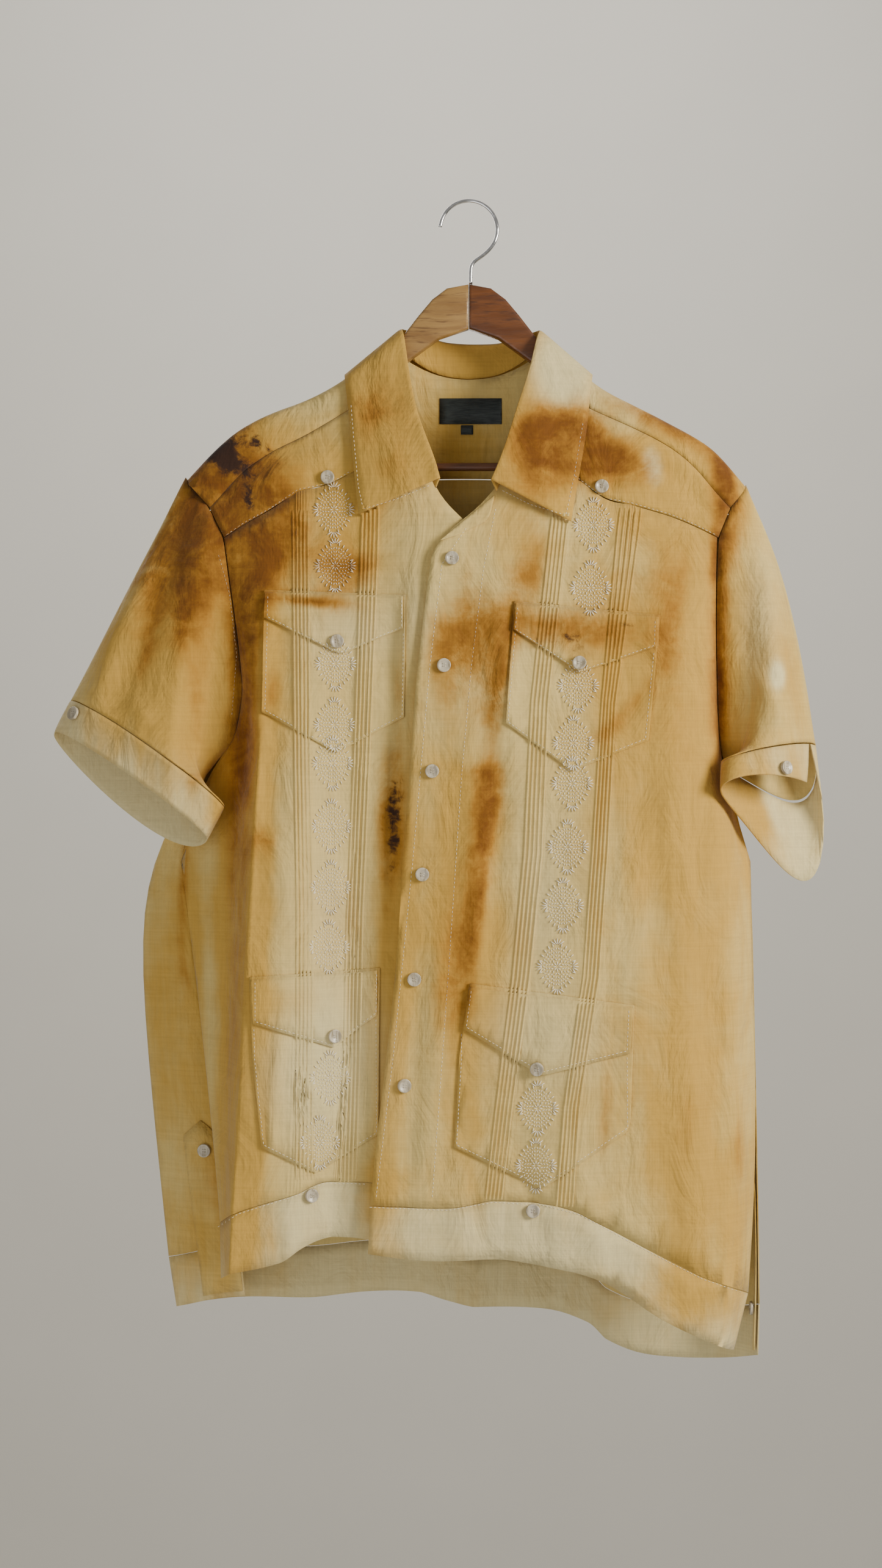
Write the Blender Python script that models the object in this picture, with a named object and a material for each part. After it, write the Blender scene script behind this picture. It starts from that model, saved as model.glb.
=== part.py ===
# Guayabera shirt on a wooden hanger: embroidered short-sleeved button-down with four pockets.
# Metres, +Z up. The origin is the inside top of the hanger's hook, the shirt's front faces -Y.

import math

import bmesh
import bpy
import numpy as np
from mathutils import Matrix, Vector
from mathutils.bvhtree import BVHTree

# Driving sizes, in millimetres
MM = 0.001
WALL = 1.0              # cloth
TUCK_HEIGHT = 0.6       # a tuck's fold above the cloth
TUCK_PITCH = 3.2
TUCKS_IN_GROUP = 5
SEAM_GAP = 0.3
COLLAR_WALL = 1.3
BUTTON_DIAMETER = 11.4
BUTTON_THICKNESS = 2.6
BAND_SEAM_GAP = 0.5
WIRE_DIAMETER = 3.3
BAR_DIAMETER = 7.5
ARM_THICKNESS = 11.0

# Widths and drops are those seen from the front, and are drawn in to true size at their depth
EYE_DISTANCE = 1854.0
EYE_X = -22.75
EYE_DROP = 476.0

# Lifts of the layers above a panel's inner face
POCKET_LIFT = WALL + TUCK_HEIGHT + SEAM_GAP
FLAP_LIFT = POCKET_LIFT + WALL + TUCK_HEIGHT + 2 * SEAM_GAP
FACING_LIFT = WALL + SEAM_GAP


def seat(x, drop, forward):
    """A point seen at x and drop, in millimetres, brought forward of the hanger."""
    k = (EYE_DISTANCE - forward) / EYE_DISTANCE
    return Vector((EYE_X + (x - EYE_X) * k, -forward, -(EYE_DROP + (drop - EYE_DROP) * k))) * MM


def smooth(keys, values, key):
    """A smooth curve through values at rising keys, with no overshoot between them."""
    n = len(keys)
    key = min(max(key, keys[0]), keys[-1])
    i = min(max(int(np.searchsorted(keys, key, side="right")) - 1, 0), n - 2)
    slopes = [(values[j + 1] - values[j]) / (keys[j + 1] - keys[j]) for j in range(n - 1)]

    def tangent(j):
        if j == 0:
            return slopes[0]
        if j == n - 1:
            return slopes[-1]
        a, b = slopes[j - 1], slopes[j]
        return 0.0 if a * b <= 0 else 2.0 * a * b / (a + b)

    h = keys[i + 1] - keys[i]
    t = (key - keys[i]) / h
    return (
        (2 * t**3 - 3 * t**2 + 1) * values[i]
        + (t**3 - 2 * t**2 + t) * h * tangent(i)
        + (-2 * t**3 + 3 * t**2) * values[i + 1]
        + (t**3 - t**2) * h * tangent(i + 1)
    )


def curve(points, x):
    """The drop at x of an edge given by (x, drop) points from left to right."""
    return smooth([p[0] for p in points], [p[1] for p in points], x)


def straight(points, x):
    """The drop at x of an edge of straight runs between (x, drop) points."""
    return float(np.interp(x, [p[0] for p in points], [p[1] for p in points]))


# Armholes: the loop that a sleeve is sewn to. Front and back halves meet on the shoulder and underarm
#              drop   front x  front fwd  back x  back fwd
ARMHOLE_LEFT = (
    (226.0, -231.0, 0.0, -231.0, 0.0),
    (250.0, -212.0, 12.0, -238.0, -12.0),
    (275.0, -200.0, 19.0, -241.0, -19.0),
    (300.0, -197.0, 21.0, -243.0, -24.0),
    (350.0, -190.0, 22.0, -244.0, -27.0),
    (400.0, -184.0, 21.0, -242.0, -26.0),
    (440.0, -191.0, 10.0, -233.0, -18.0),
    (470.0, -216.0, -3.0, -216.0, -3.0),
)
ARMHOLE_RIGHT = (
    (232.0, 226.0, 0.0, 226.0, 0.0),
    (250.0, 214.0, 10.0, 233.0, -10.0),
    (275.0, 203.6, 15.5, 236.0, -18.0),
    (300.0, 202.7, 16.0, 237.0, -23.0),
    (350.0, 202.0, 15.0, 237.0, -27.0),
    (400.0, 203.0, 13.0, 235.0, -25.0),
    (440.0, 204.5, 9.0, 226.0, -17.0),
    (470.0, 210.0, -2.0, 210.0, -2.0),
)


ARMHOLE_MIDDLE = 348.0
ARMHOLE_HALF = 122.0


def armhole_out(drop, way):
    """Which way the cloth thickens at an armhole, the same on both sides of the seam."""
    share = max(-1.0, min(1.0, (drop - ARMHOLE_MIDDLE) / ARMHOLE_HALF))
    return Vector((0.0, -way * math.sqrt(1.0 - share**4), -share**3)).normalized()


# The overlapping front, on the viewer's right. Stations run from the placket's edge to the side.
OVERLAP_STATIONS = (0.0, 103.0, 160.0, 246.0, 285.0)
#  drop   edge x  tucks a  tucks b  roll   side    edge fwd  a  b  roll  side
OVERLAP = (
    (225.0, -26.0, 78.0, 134.0, 168.0, 206.0, 30.0, 23.0, 20.0, 15.0, 13.0),
    (285.0, -30.5, 73.0, 129.0, 180.0, 203.0, 38.0, 30.0, 27.0, 22.0, 16.0),
    (350.0, -38.5, 65.0, 121.0, 189.0, 202.0, 42.0, 38.0, 37.0, 29.0, 15.0),
    (400.0, -44.0, 58.0, 115.0, 192.0, 203.0, 44.0, 44.0, 43.0, 33.0, 13.0),
    (440.0, -46.5, 56.0, 112.5, 194.0, 204.5, 46.0, 47.0, 46.0, 35.0, 9.0),
    (470.0, -48.5, 54.5, 110.5, 197.0, 210.0, 46.0, 48.0, 48.0, 37.0, -2.0),
    (540.0, -54.5, 51.5, 107.0, 208.0, 230.0, 47.0, 49.0, 52.0, 40.0, 4.0),
    (620.0, -58.0, 44.5, 101.0, 210.0, 231.5, 48.0, 50.0, 55.0, 43.0, 6.0),
    (700.0, -62.0, 34.0, 90.0, 212.0, 233.0, 50.0, 53.0, 58.0, 46.0, 6.0),
    (780.0, -77.0, 26.0, 82.0, 214.0, 235.5, 54.0, 55.0, 61.0, 50.0, 7.0),
    (860.0, -82.5, 20.0, 77.0, 214.0, 233.0, 57.0, 58.0, 64.0, 52.0, 12.0),
    (940.0, -84.0, 17.0, 74.0, 204.0, 216.0, 58.0, 60.0, 64.0, 50.0, 24.0),
)
# The underlapping front, on the viewer's left. Its fold crests near the side and turns back there
UNDERLAP_STATIONS = (0.0, 38.0, 103.0, 160.0, 206.0, 232.0, 285.0)
#  drop   edge x  lap  tucks a  tucks b  crest  turn  side    edge fwd  lap  a  b  crest  turn  side
UNDERLAP = (
    (225.0, 8.0, -20.0, -80.0, -137.0, -158.0, -176.0, -206.0, 26.0, 25.0, 18.0, 18.0, 17.0, 15.0, 13.0),
    (285.0, 7.0, -31.0, -81.0, -138.0, -164.0, -181.0, -199.0, 33.0, 33.0, 25.0, 27.0, 28.0, 25.0, 20.0),
    (350.0, 0.0, -38.0, -84.0, -138.0, -167.0, -180.0, -190.0, 37.0, 37.0, 28.0, 34.0, 37.0, 31.0, 22.0),
    (400.0, -6.0, -44.0, -86.0, -137.0, -168.5, -178.0, -184.0, 39.5, 38.0, 28.0, 38.0, 42.0, 33.0, 21.0),
    (440.0, -8.0, -47.0, -87.5, -137.0, -171.0, -179.0, -191.0, 41.0, 39.0, 28.0, 40.0, 46.0, 22.0, 10.0),
    (470.0, -10.0, -49.0, -88.5, -136.5, -172.5, -184.0, -216.0, 41.0, 39.0, 28.0, 42.0, 48.0, 14.0, -3.0),
    (540.0, -16.0, -54.0, -91.0, -135.5, -177.0, -192.0, -236.0, 42.0, 40.0, 28.0, 44.0, 52.0, 14.0, -8.0),
    (620.0, -20.0, -58.0, -94.0, -134.5, -181.5, -196.0, -224.0, 43.0, 41.0, 30.0, 46.0, 55.0, 14.0, -10.0),
    (700.0, -24.0, -62.0, -97.0, -134.0, -186.5, -197.0, -215.0, 45.0, 43.0, 33.0, 48.0, 57.0, 18.0, -8.0),
    (780.0, -39.0, -77.0, -106.0, -141.0, -190.0, -197.0, -207.0, 48.0, 46.0, 39.0, 52.0, 58.0, 26.0, 4.0),
    (860.0, -44.0, -82.0, -110.0, -146.0, -195.0, -199.0, -202.0, 51.0, 49.0, 44.0, 54.0, 60.0, 34.0, 14.0),
    (940.0, -46.0, -84.0, -112.0, -148.0, -197.0, -200.0, -202.0, 52.0, 50.0, 45.0, 54.0, 60.0, 34.0, 14.0),
)
# The back, from the left side seam round to the right one
BACK_STATIONS = (0.0, 38.0, 84.0, 190.0, 285.0, 380.0, 486.0, 532.0, 570.0)
#  drop   x: left seam  turn  back  tucks  centre  tucks  back  turn  right seam, and then fwd of each
BACK_X = (
    (227.0, -236.0, -224.0, -190.0, -100.0, -6.0, 88.0, 182.0, 216.0, 228.0),
    (300.0, -243.0, -229.0, -192.0, -100.0, -7.0, 88.0, 184.0, 223.0, 237.0),
    (350.0, -244.0, -231.0, -194.0, -100.0, -8.0, 88.0, 185.0, 223.0, 237.0),
    (400.0, -242.0, -232.0, -198.0, -100.0, -9.0, 88.0, 186.0, 222.0, 235.0),
    (440.0, -233.0, -224.0, -200.0, -99.0, -10.0, 88.0, 185.0, 213.0, 226.0),
    (470.0, -216.0, -222.0, -204.0, -98.0, -11.0, 88.0, 184.0, 209.0, 210.0),
    (540.0, -236.0, -261.0, -230.0, -98.0, -12.0, 88.0, 190.0, 229.0, 230.0),
    (600.0, -226.0, -270.0, -240.0, -99.0, -13.0, 88.0, 190.0, 230.0, 231.5),
    (700.0, -215.0, -259.0, -232.0, -100.0, -15.0, 87.0, 190.0, 231.0, 233.0),
    (780.0, -197.0, -253.5, -226.0, -101.0, -17.0, 86.0, 190.0, 233.0, 235.5),
    (860.0, -186.0, -245.0, -218.0, -102.0, -19.0, 86.0, 190.0, 235.0, 238.0),
    (940.0, -178.0, -232.0, -208.0, -102.0, -20.0, 86.0, 190.0, 233.0, 236.0),
)
BACK_FORWARD = (
    (227.0, -9.0, -14.0, -19.0, -20.0, -19.0, -20.0, -19.0, -12.0, -6.0),
    (300.0, -24.0, -27.0, -29.0, -27.0, -25.0, -27.0, -28.0, -26.0, -23.0),
    (350.0, -27.0, -31.0, -35.0, -31.0, -28.0, -31.0, -33.0, -30.0, -27.0),
    (400.0, -26.0, -33.0, -40.0, -34.0, -31.0, -35.0, -37.0, -32.0, -25.0),
    (440.0, -18.0, -32.0, -43.0, -36.0, -33.0, -37.0, -39.0, -31.0, -17.0),
    (470.0, -3.0, -29.0, -45.0, -38.0, -34.0, -39.0, -41.0, -30.0, -2.0),
    (540.0, -9.0, -25.0, -49.0, -41.0, -36.0, -43.0, -44.0, -22.0, 4.0),
    (600.0, -10.0, -28.0, -51.0, -43.0, -36.0, -45.0, -46.0, -22.0, 5.0),
    (700.0, -9.0, -30.0, -53.0, -44.0, -36.0, -46.0, -47.0, -22.0, 6.0),
    (780.0, -10.0, -31.0, -54.0, -46.0, -36.0, -46.0, -48.0, -22.0, 5.0),
    (860.0, -8.0, -30.0, -54.0, -48.0, -38.0, -46.0, -50.0, -24.0, 0.0),
    (940.0, -6.0, -30.0, -54.0, -49.0, -40.0, -46.0, -50.0, -26.0, -6.0),
)

# Edges of the panels, as (x, drop) from left to right
OVERLAP_TOP = ((-31.0, 284.5), (-20.0, 272.5), (-7.0, 259.5), (22.0, 241.0), (40.0, 206.0),
               (60.0, 211.0), (91.0, 227.5), (111.0, 244.5), (132.0, 247.5), (166.0, 257.5), (184.0, 265.0),
               (204.0, 275.0))
OVERLAP_SEAM = ((-84.0, 821.0), (-17.0, 823.5), (20.0, 817.0), (59.0, 819.0), (91.0, 827.0),
                (131.0, 849.0), (166.0, 867.0), (192.0, 880.0), (234.0, 894.0))
OVERLAP_HEM = ((-84.0, 860.5), (-30.0, 867.0), (22.0, 865.0), (72.0, 873.0), (115.0, 884.0),
               (140.0, 905.0), (166.0, 919.0), (192.0, 931.0), (217.0, 939.0), (236.0, 936.0))
UNDERLAP_TOP = ((-200.0, 275.0), (-184.0, 264.0), (-162.0, 252.0), (-140.0, 237.0), (-112.0, 231.0),
                (-92.0, 219.0), (-60.0, 208.0), (-40.0, 206.0), (-29.0, 236.0), (-6.0, 258.0), (12.0, 276.0))
UNDERLAP_SEAM = ((-208.0, 838.0), (-189.0, 826.5), (-140.0, 811.0), (-118.0, 801.0), (-82.0, 802.0),
                 (-38.0, 806.0))
UNDERLAP_HEM = ((-208.0, 884.0), (-196.0, 877.5), (-158.0, 869.5), (-129.0, 851.0), (-110.0, 846.5),
                (-82.0, 849.0), (-38.0, 854.0))
BACK_HEM = ((-250.0, 905.0), (-236.0, 903.0), (-190.0, 894.5), (-137.0, 896.5), (-70.0, 890.0), (-44.0, 891.0),
            (-17.0, 899.0), (9.0, 904.5), (56.0, 902.0), (80.0, 908.5), (99.0, 917.5), (115.0, 932.5),
            (136.0, 942.0), (166.0, 945.0), (206.0, 946.0), (234.0, 943.5))
BACK_BAND_HEIGHT = 42.0
LEVELS = (300.0, 350.0, 400.0, 440.0, 470.0, 540.0, 620.0, 780.0)
BACK_LEVELS = (300.0, 350.0, 400.0, 440.0, 470.0, 540.0, 620.0, 780.0)
UNDERARM_DROP = 470.5
VENT_TAB_LIFT = WALL + 0.8
VENT_TAB_WIDTH = 17.0
VENT_TAB_POINT = 12.0
VENT_TAB_ABOVE_HEM = 4.0

# Places across the cloth, in millimetres from a front's edge or the back's left seam
FRONT_TUCKS = (103.0, 160.0)
BACK_TUCKS = (172.0, 270.0, 300.0, 398.0)
OVERLAP_PLAIN = (0.0, 17.5, 38.0, 60.0, 80.0, 185.0, 205.0, 226.0, 246.0, 262.0, 274.0, 284.6)
UNDERLAP_PLAIN = (0.0, 19.0, 38.0, 60.0, 80.0, 180.0, 194.0, 206.0, 218.0, 232.0, 250.0, 268.0, 284.6)
BACK_PLAIN = (0.4, 12.0, 24.0, 38.0, 60.0, 84.0, 120.0, 150.0, 205.0, 240.0, 285.0, 330.0, 365.0, 430.0, 460.0,
              486.0, 510.0, 532.0, 552.0, 569.6)

# Yokes, as rows from the neck out to the armhole: the forward shoulder seam, the ridge on the hanger
# and the back yoke's lower seam
#  seam x  drop   ridge x  drop   back x  drop
YOKE_LEFT = (
    (-62.0, 150.0, -64.0, 115.0, -62.0, 228.5),
    (-99.0, 170.0, -102.0, 146.0, -97.0, 231.0),
    (-125.0, 186.0, -125.0, 158.5, -120.0, 234.0),
    (-142.0, 195.0, -142.0, 165.5, -142.0, 238.0),
    (-160.0, 203.0, -159.0, 171.0, -165.0, 242.0),
    (-184.0, 219.0, -184.0, 183.0, -190.0, 246.0),
    (-199.0, 236.0, -205.0, 200.0, -216.0, 254.0),
    (-211.6, 250.0, -229.4, 226.6, -239.0, 262.0),
)
YOKE_RIGHT = (
    (62.0, 150.0, 64.0, 115.0, 62.0, 228.5),
    (99.0, 169.0, 100.0, 147.0, 95.0, 231.0),
    (120.0, 178.0, 118.0, 158.0, 118.0, 234.0),
    (141.0, 187.5, 141.0, 169.0, 140.0, 238.0),
    (166.0, 200.5, 166.0, 182.0, 166.0, 243.0),
    (186.0, 217.5, 190.0, 195.0, 190.0, 248.0),
    (199.0, 234.0, 204.0, 206.0, 214.0, 256.0),
    (213.6, 250.0, 225.6, 232.0, 234.0, 264.0),
)
BACK_TOP = ((-241.0, 262.0), (-190.0, 246.0), (-100.0, 231.0), (-6.0, 227.0), (88.0, 230.5), (184.0, 247.0),
            (236.0, 264.0))
YOKE_GAP = 0.8
YOKE_BULGE = 1.5
NECK_EDGE_X = 40.0
SHOULDER_SEAM_FORWARD = 11.5
# The flat top of a shoulder, where it lies on the hanger: half its width, and its fall to each side
SHOULDER_FLAT = 8.0
SHOULDER_FALL = 4.0
# Columns between the shoulders, at the back of the neck: x, drop and forward of the neckline
NECK_BACK = ((-48.0, 132.0, -14.0), (-25.0, 143.0, -20.5), (0.0, 146.0, -22.0), (25.0, 143.0, -20.5),
             (48.0, 132.0, -14.0))
NECK_SHARES = (0.0, 0.0, 0.0, 0.0, 0.45)
NECK_ROW = 3

# Collar from the left point round the back to the right one: seam, roll line and outer edge
#            seam x  drop   fwd    roll x  drop   fwd    edge x  drop   fwd
COLLAR = (
    (-27.5, 233.5, 33.5, -26.0, 226.5, 38.0, -90.0, 255.0, 29.0),
    (-35.0, 216.0, 30.0, -29.5, 213.0, 37.0, -92.0, 236.0, 27.0),
    (-42.0, 196.0, 26.5, -35.5, 197.0, 34.0, -94.0, 217.0, 24.5),
    (-50.5, 172.0, 21.0, -45.5, 169.0, 28.0, -97.0, 186.0, 20.0),
    (-58.0, 146.0, 14.0, -52.0, 135.0, 18.0, -99.5, 160.0, 13.5),
    (-62.0, 117.5, 9.0, -55.5, 108.5, 10.0, -101.0, 146.0, 8.5),
    (-62.5, 113.0, 0.0, -57.0, 105.5, 0.0, -101.0, 141.5, -1.0),
    (-61.0, 117.0, -9.0, -54.0, 106.5, -10.0, -98.0, 145.0, -11.5),
    (-46.5, 129.0, -16.5, -42.0, 109.0, -18.0, -88.0, 150.5, -19.5),
    (-24.5, 141.5, -23.5, -22.0, 117.0, -25.5, -45.0, 163.0, -29.0),
    (0.0, 145.0, -25.0, 0.0, 119.0, -28.0, 0.0, 167.0, -31.0),
    (24.5, 141.5, -23.5, 24.0, 118.5, -25.5, 45.0, 163.0, -29.0),
    (46.5, 129.0, -16.5, 44.0, 112.0, -18.0, 88.0, 150.5, -19.5),
    (61.0, 117.0, -9.0, 56.0, 108.0, -10.0, 98.0, 145.0, -11.5),
    (62.5, 113.0, 0.0, 60.0, 106.5, 0.0, 100.5, 141.5, -1.0),
    (62.0, 117.5, 9.0, 58.0, 111.0, 10.0, 100.5, 145.5, 8.5),
    (58.0, 146.0, 14.0, 53.0, 134.0, 18.0, 99.0, 155.0, 13.5),
    (50.5, 172.0, 21.0, 42.5, 166.0, 28.5, 97.0, 180.0, 20.0),
    (41.0, 198.0, 27.0, 34.5, 192.0, 35.5, 92.5, 209.0, 26.0),
    (33.0, 217.0, 32.0, 26.5, 214.0, 40.0, 89.0, 229.0, 29.0),
    (23.0, 236.0, 36.0, 20.5, 228.0, 41.5, 83.5, 261.0, 32.0),
)
COLLAR_ACROSS = (0.0, 0.5, 0.88, 1.0, 1.12, 1.5, 2.0)
COLLAR_SPREAD = 1.5     # half the room inside the roll
COLLAR_TURN = 0.12

# Sleeves from the armhole to the lip: outer edge, inner edge, and how far each half bulges and droops
#              outer x  drop  fwd    inner x  drop  fwd    front  back  front droop  back droop
SLEEVE_LEFT = (
    (0.33, -270.0, 302.0, -2.0, -219.0, 478.0, 3.0, 33.0, 26.0, -8.0, 0.0),
    (0.66, -308.0, 376.0, -3.0, -209.0, 489.0, 17.0, 33.0, 25.0, -8.0, 4.0),
    (1.0, -325.0, 408.0, -3.0, -200.0, 495.0, 29.0, 32.0, 25.0, -8.0, 10.0),
)
CUFF_LEFT = (
    (0.5, -332.0, 421.0, -3.0, -207.0, 508.0, 28.0, 32.0, 24.0, -8.0, 12.0),
    (1.0, -338.5, 434.0, -3.0, -214.0, 521.0, 27.0, 32.0, 24.0, -8.0, 16.0),
)
SLEEVE_RIGHT = (
    (0.33, 254.0, 303.0, -2.0, 220.0, 468.0, 2.0, 31.0, 26.0, 0.0, 0.0),
    (0.66, 274.0, 392.0, -3.0, 214.5, 459.0, 17.0, 32.0, 28.0, 0.0, 6.0),
    (1.0, 283.0, 444.0, -3.0, 206.5, 459.0, 33.0, 30.0, 27.0, -6.0, 36.0),
)
CUFF_RIGHT = (
    (0.5, 286.0, 466.0, -3.0, 206.0, 470.0, 39.0, 29.0, 23.0, -6.0, 50.0),
    (1.0, 289.0, 487.0, -3.0, 206.0, 482.0, 44.0, 28.0, 20.0, -16.0, 62.0),
)
SLEEVE_SIDES = 28
SLEEVE_BACK_OUT = 11.0
SLEEVE_ROWS = (0.0, 0.16, 0.33, 0.5, 0.66, 0.83, 1.0)
CUFF_ROWS = (0.03, 0.5, 1.0)
ARMHOLE_GAP = 0.8
# Where each cuff's slit opens: its first edge at the seam and the lip, then its last edge
LEFT_SLIT = (0.2, 0.7, -0.2, -0.4)
RIGHT_SLIT = (2.3, 3.6, 2.1, 0.9)
# Which way a cuff's back droops most: inward below 0, outward above
LEFT_LEAN = -0.6
RIGHT_LEAN = 0.6

# Pockets and their pointed bands on the panels, as outlines of (x, drop), clockwise from the top left
CHEST_LEFT = ((-167.0, 317.5), (-51.5, 321.5), (-52.5, 421.5), (-109.0, 450.5), (-169.0, 417.5))
CHEST_LEFT_FLAP = ((-166.0, 319.5), (-53.0, 323.0), (-53.0, 349.0), (-105.5, 370.5), (-167.0, 340.5))
CHEST_RIGHT = ((37.0, 326.5), (156.0, 338.5), (146.5, 440.5), (84.5, 465.5), (30.0, 426.5))
CHEST_RIGHT_FLAP = ((38.0, 328.5), (154.5, 340.5), (154.0, 364.0), (91.0, 385.5), (36.0, 350.0))
LOWER_LEFT = ((-179.0, 634.0), (-72.0, 626.5), (-73.5, 763.0), (-126.5, 794.5), (-170.0, 773.0),
              (-177.5, 700.0))
LOWER_LEFT_FLAP = ((-177.5, 636.0), (-73.5, 628.5), (-74.0, 665.5), (-112.0, 691.5), (-177.0, 672.0))
LOWER_RIGHT = ((0.5, 639.0), (135.0, 657.0), (132.0, 759.0), (60.0, 807.5), (-12.0, 773.0), (-8.0, 700.0))
LOWER_RIGHT_FLAP = ((0.0, 642.0), (133.5, 659.0), (131.5, 696.0), (59.5, 714.5), (-4.0, 676.5))

# Buttons at (x, drop) on each panel
PLACKET_BUTTONS = ((-14.0, 291.5), (-20.5, 379.0), (-30.0, 465.5), (-38.0, 550.0), (-44.5, 636.0),
                   (-52.5, 723.0))
FLAP_BUTTONS = {"chest_left": (-108.5, 359.5), "chest_right": (90.0, 378.0),
                "lower_left": (-112.5, 682.0), "lower_right": (56.5, 709.0)}
YOKE_BUTTONS = {"left": (-115.5, 225.5), "right": (108.5, 233.0)}
CUFF_BUTTONS = {"left": (-326.5, 417.0, 20.0), "right": (262.0, 462.0, 45.0)}
HEM_BUTTONS = {"left": (-129.5, 812.5), "right": (53.0, 825.5)}
# Side vents at the back: where along the back and at what drop the tab's point and its button are
VENT_TABS = {"left": (9.5, 751.0), "right": (560.5, 792.0)}
VENT_BUTTONS = {"left": (9.5, 775.0), "right": (560.5, 905.0)}
BUTTON_SIDES = 12
BUTTON_TAPER = 0.92
BUTTON_RIM = 1.3
BUTTON_DISH = 0.5
BUTTON_SEAT = 0.9

# Small pieces as outlines of (x, drop)
LAPEL = ((-24.0, 277.0), (21.0, 240.0), (17.0, 260.0), (-10.0, 273.0))
LABEL = ((-24.0, 160.5), (27.0, 160.5), (27.0, 181.5), (-24.0, 181.5))
SIZE_TAB = ((-6.5, 182.5), (3.5, 182.5), (3.5, 190.0), (-6.5, 190.0))
LABEL_THICKNESS = 0.8

# Hanger
ARM_REACH = 196.0
ARM_UNDER_RIDGE = 4.6
BAR_REACH = 172.0
BAR_DROP = 216.5
HOOK_INSIDE_RADIUS = 22.0
HOOK_TIP_ANGLE = 176.0
HOOK_END_ANGLE = -40.0
HOOK_STEPS = 14
STEM_X = 1.5
STEM_TOP = 56.0
STEM_FOOT = 67.3
STEM_STEPS = 6
HOOK_END_PULL = 14.0
STEM_PULL = 10.0
TUBE_RESOLUTION = 2
# Outline of an arm by (x, drop): from the middle to the collar, the lobe at its end, and the underside
JOINT_HALF = 0.15
ARM_NECK = ((JOINT_HALF, 67.7), (18.0, 71.0), (30.0, 80.0), (41.0, 93.0), (56.5, 113.0))
ARM_TOP_END = 6.0
ARM_END_FALL = 12.0
ARM_LOBE_DROP = 217.0
LOBE_SLANT = 8.0
LOBE_BELOW_BAR = 7.0
ARM_UNDERSIDE = ((150.0, 191.0), (99.0, 163.0), (50.0, 131.0), (24.0, 112.0), (JOINT_HALF, 104.0))
LOBE_INSIDE_DROP = 205.0


def group_columns(centres):
    """Columns on every valley and crest of the tuck groups, with whether each is a crest."""
    steps = 2 * TUCKS_IN_GROUP
    columns = []
    for centre in centres:
        start = centre - TUCKS_IN_GROUP * TUCK_PITCH / 2
        columns += [(start + i * TUCK_PITCH / 2, i % 2) for i in range(steps + 1)]
    return columns


def front_section(table, stations, s, drop):
    """x and forward of a front at s across the cloth and a drop."""
    drops = [row[0] for row in table]
    n = len(stations)
    xs = [smooth(drops, [row[1 + i] for row in table], drop) for i in range(n)]
    forwards = [smooth(drops, [row[1 + n + i] for row in table], drop) for i in range(n)]
    return smooth(stations, xs, s), smooth(stations, forwards, s)


def overlap_section(s, drop):
    return front_section(OVERLAP, OVERLAP_STATIONS, s, drop)


def underlap_section(s, drop):
    return front_section(UNDERLAP, UNDERLAP_STATIONS, s, drop)


def back_section(s, drop):
    drops = [row[0] for row in BACK_X]
    n = len(BACK_STATIONS)
    xs = [smooth(drops, [row[1 + i] for row in BACK_X], drop) for i in range(n)]
    forwards = [smooth(drops, [row[1 + i] for row in BACK_FORWARD], drop) for i in range(n)]
    return smooth(BACK_STATIONS, xs, s), smooth(BACK_STATIONS, forwards, s)


def level(drop):
    """A row of a panel at one drop."""
    return lambda section, s: drop


def along(edge, shape=curve):
    """A row of a panel along an edge."""
    def row(section, s):
        drop = edge[0][1]
        for _ in range(6):
            x, _ = section(s, drop)
            drop = shape(edge, x)
        return drop
    return row


def between(first, second, share):
    """A row part of the way between two others."""
    return lambda section, s: first(section, s) * (1 - share) + second(section, s) * share


def panel_point(section):
    def point(s, row):
        drop = row(section, s)
        x, forward = section(s, drop)
        return seat(x, drop, forward)
    return point


def armhole_edge(section, columns, way):
    """Sets the outward way along the columns that a sleeve is sewn to."""
    def turn(s, row):
        drop = row(section, s)
        return armhole_out(drop, way) if s in columns and drop <= UNDERARM_DROP else None
    return turn


def sheet(columns, rows, point, facing, crests=(), closed=False, turn=None, missing=None):
    """An open net of cloth at its inner face, whose vertices know which way is out."""
    bm = bmesh.new()
    wide, high = len(columns) - 1, len(rows) - 1
    bmesh.ops.create_grid(bm, x_segments=wide, y_segments=high, size=0.5)
    raised = bm.verts.layers.float.new("raised")
    out = bm.verts.layers.float_vector.new("out")
    gaps = []
    for vert in bm.verts:
        i = round((vert.co.x + 0.5) * wide)
        j = round((0.5 - vert.co.y) * high)
        vert.co = point(columns[i], rows[j])
        if missing and missing(columns[i], rows[j]):
            gaps.append(vert)
        vert[raised] = 1.0 if columns[i] in crests else 0.0
        vert[out] = (turn(columns[i], rows[j]) if turn else None) or Vector()
    if closed:
        bmesh.ops.remove_doubles(bm, verts=bm.verts[:], dist=1e-6)
    if missing:
        bmesh.ops.delete(bm, geom=gaps, context="VERTS")
    bmesh.ops.triangulate(bm, faces=bm.faces[:], quad_method="FIXED")
    bm.normal_update()
    middle = sum((vert.co for vert in bm.verts), Vector()) / len(bm.verts)
    lean = 0.0
    for face in bm.faces:
        way = face.calc_center_median() - middle if facing is None else facing
        lean += face.normal.dot(way) * face.calc_area()
    if lean < 0:
        bmesh.ops.reverse_faces(bm, faces=bm.faces[:])
        bm.normal_update()
    for vert in bm.verts:
        if vert[out].length < 0.5:
            vert[out] = vert.normal
    return bm


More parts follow.
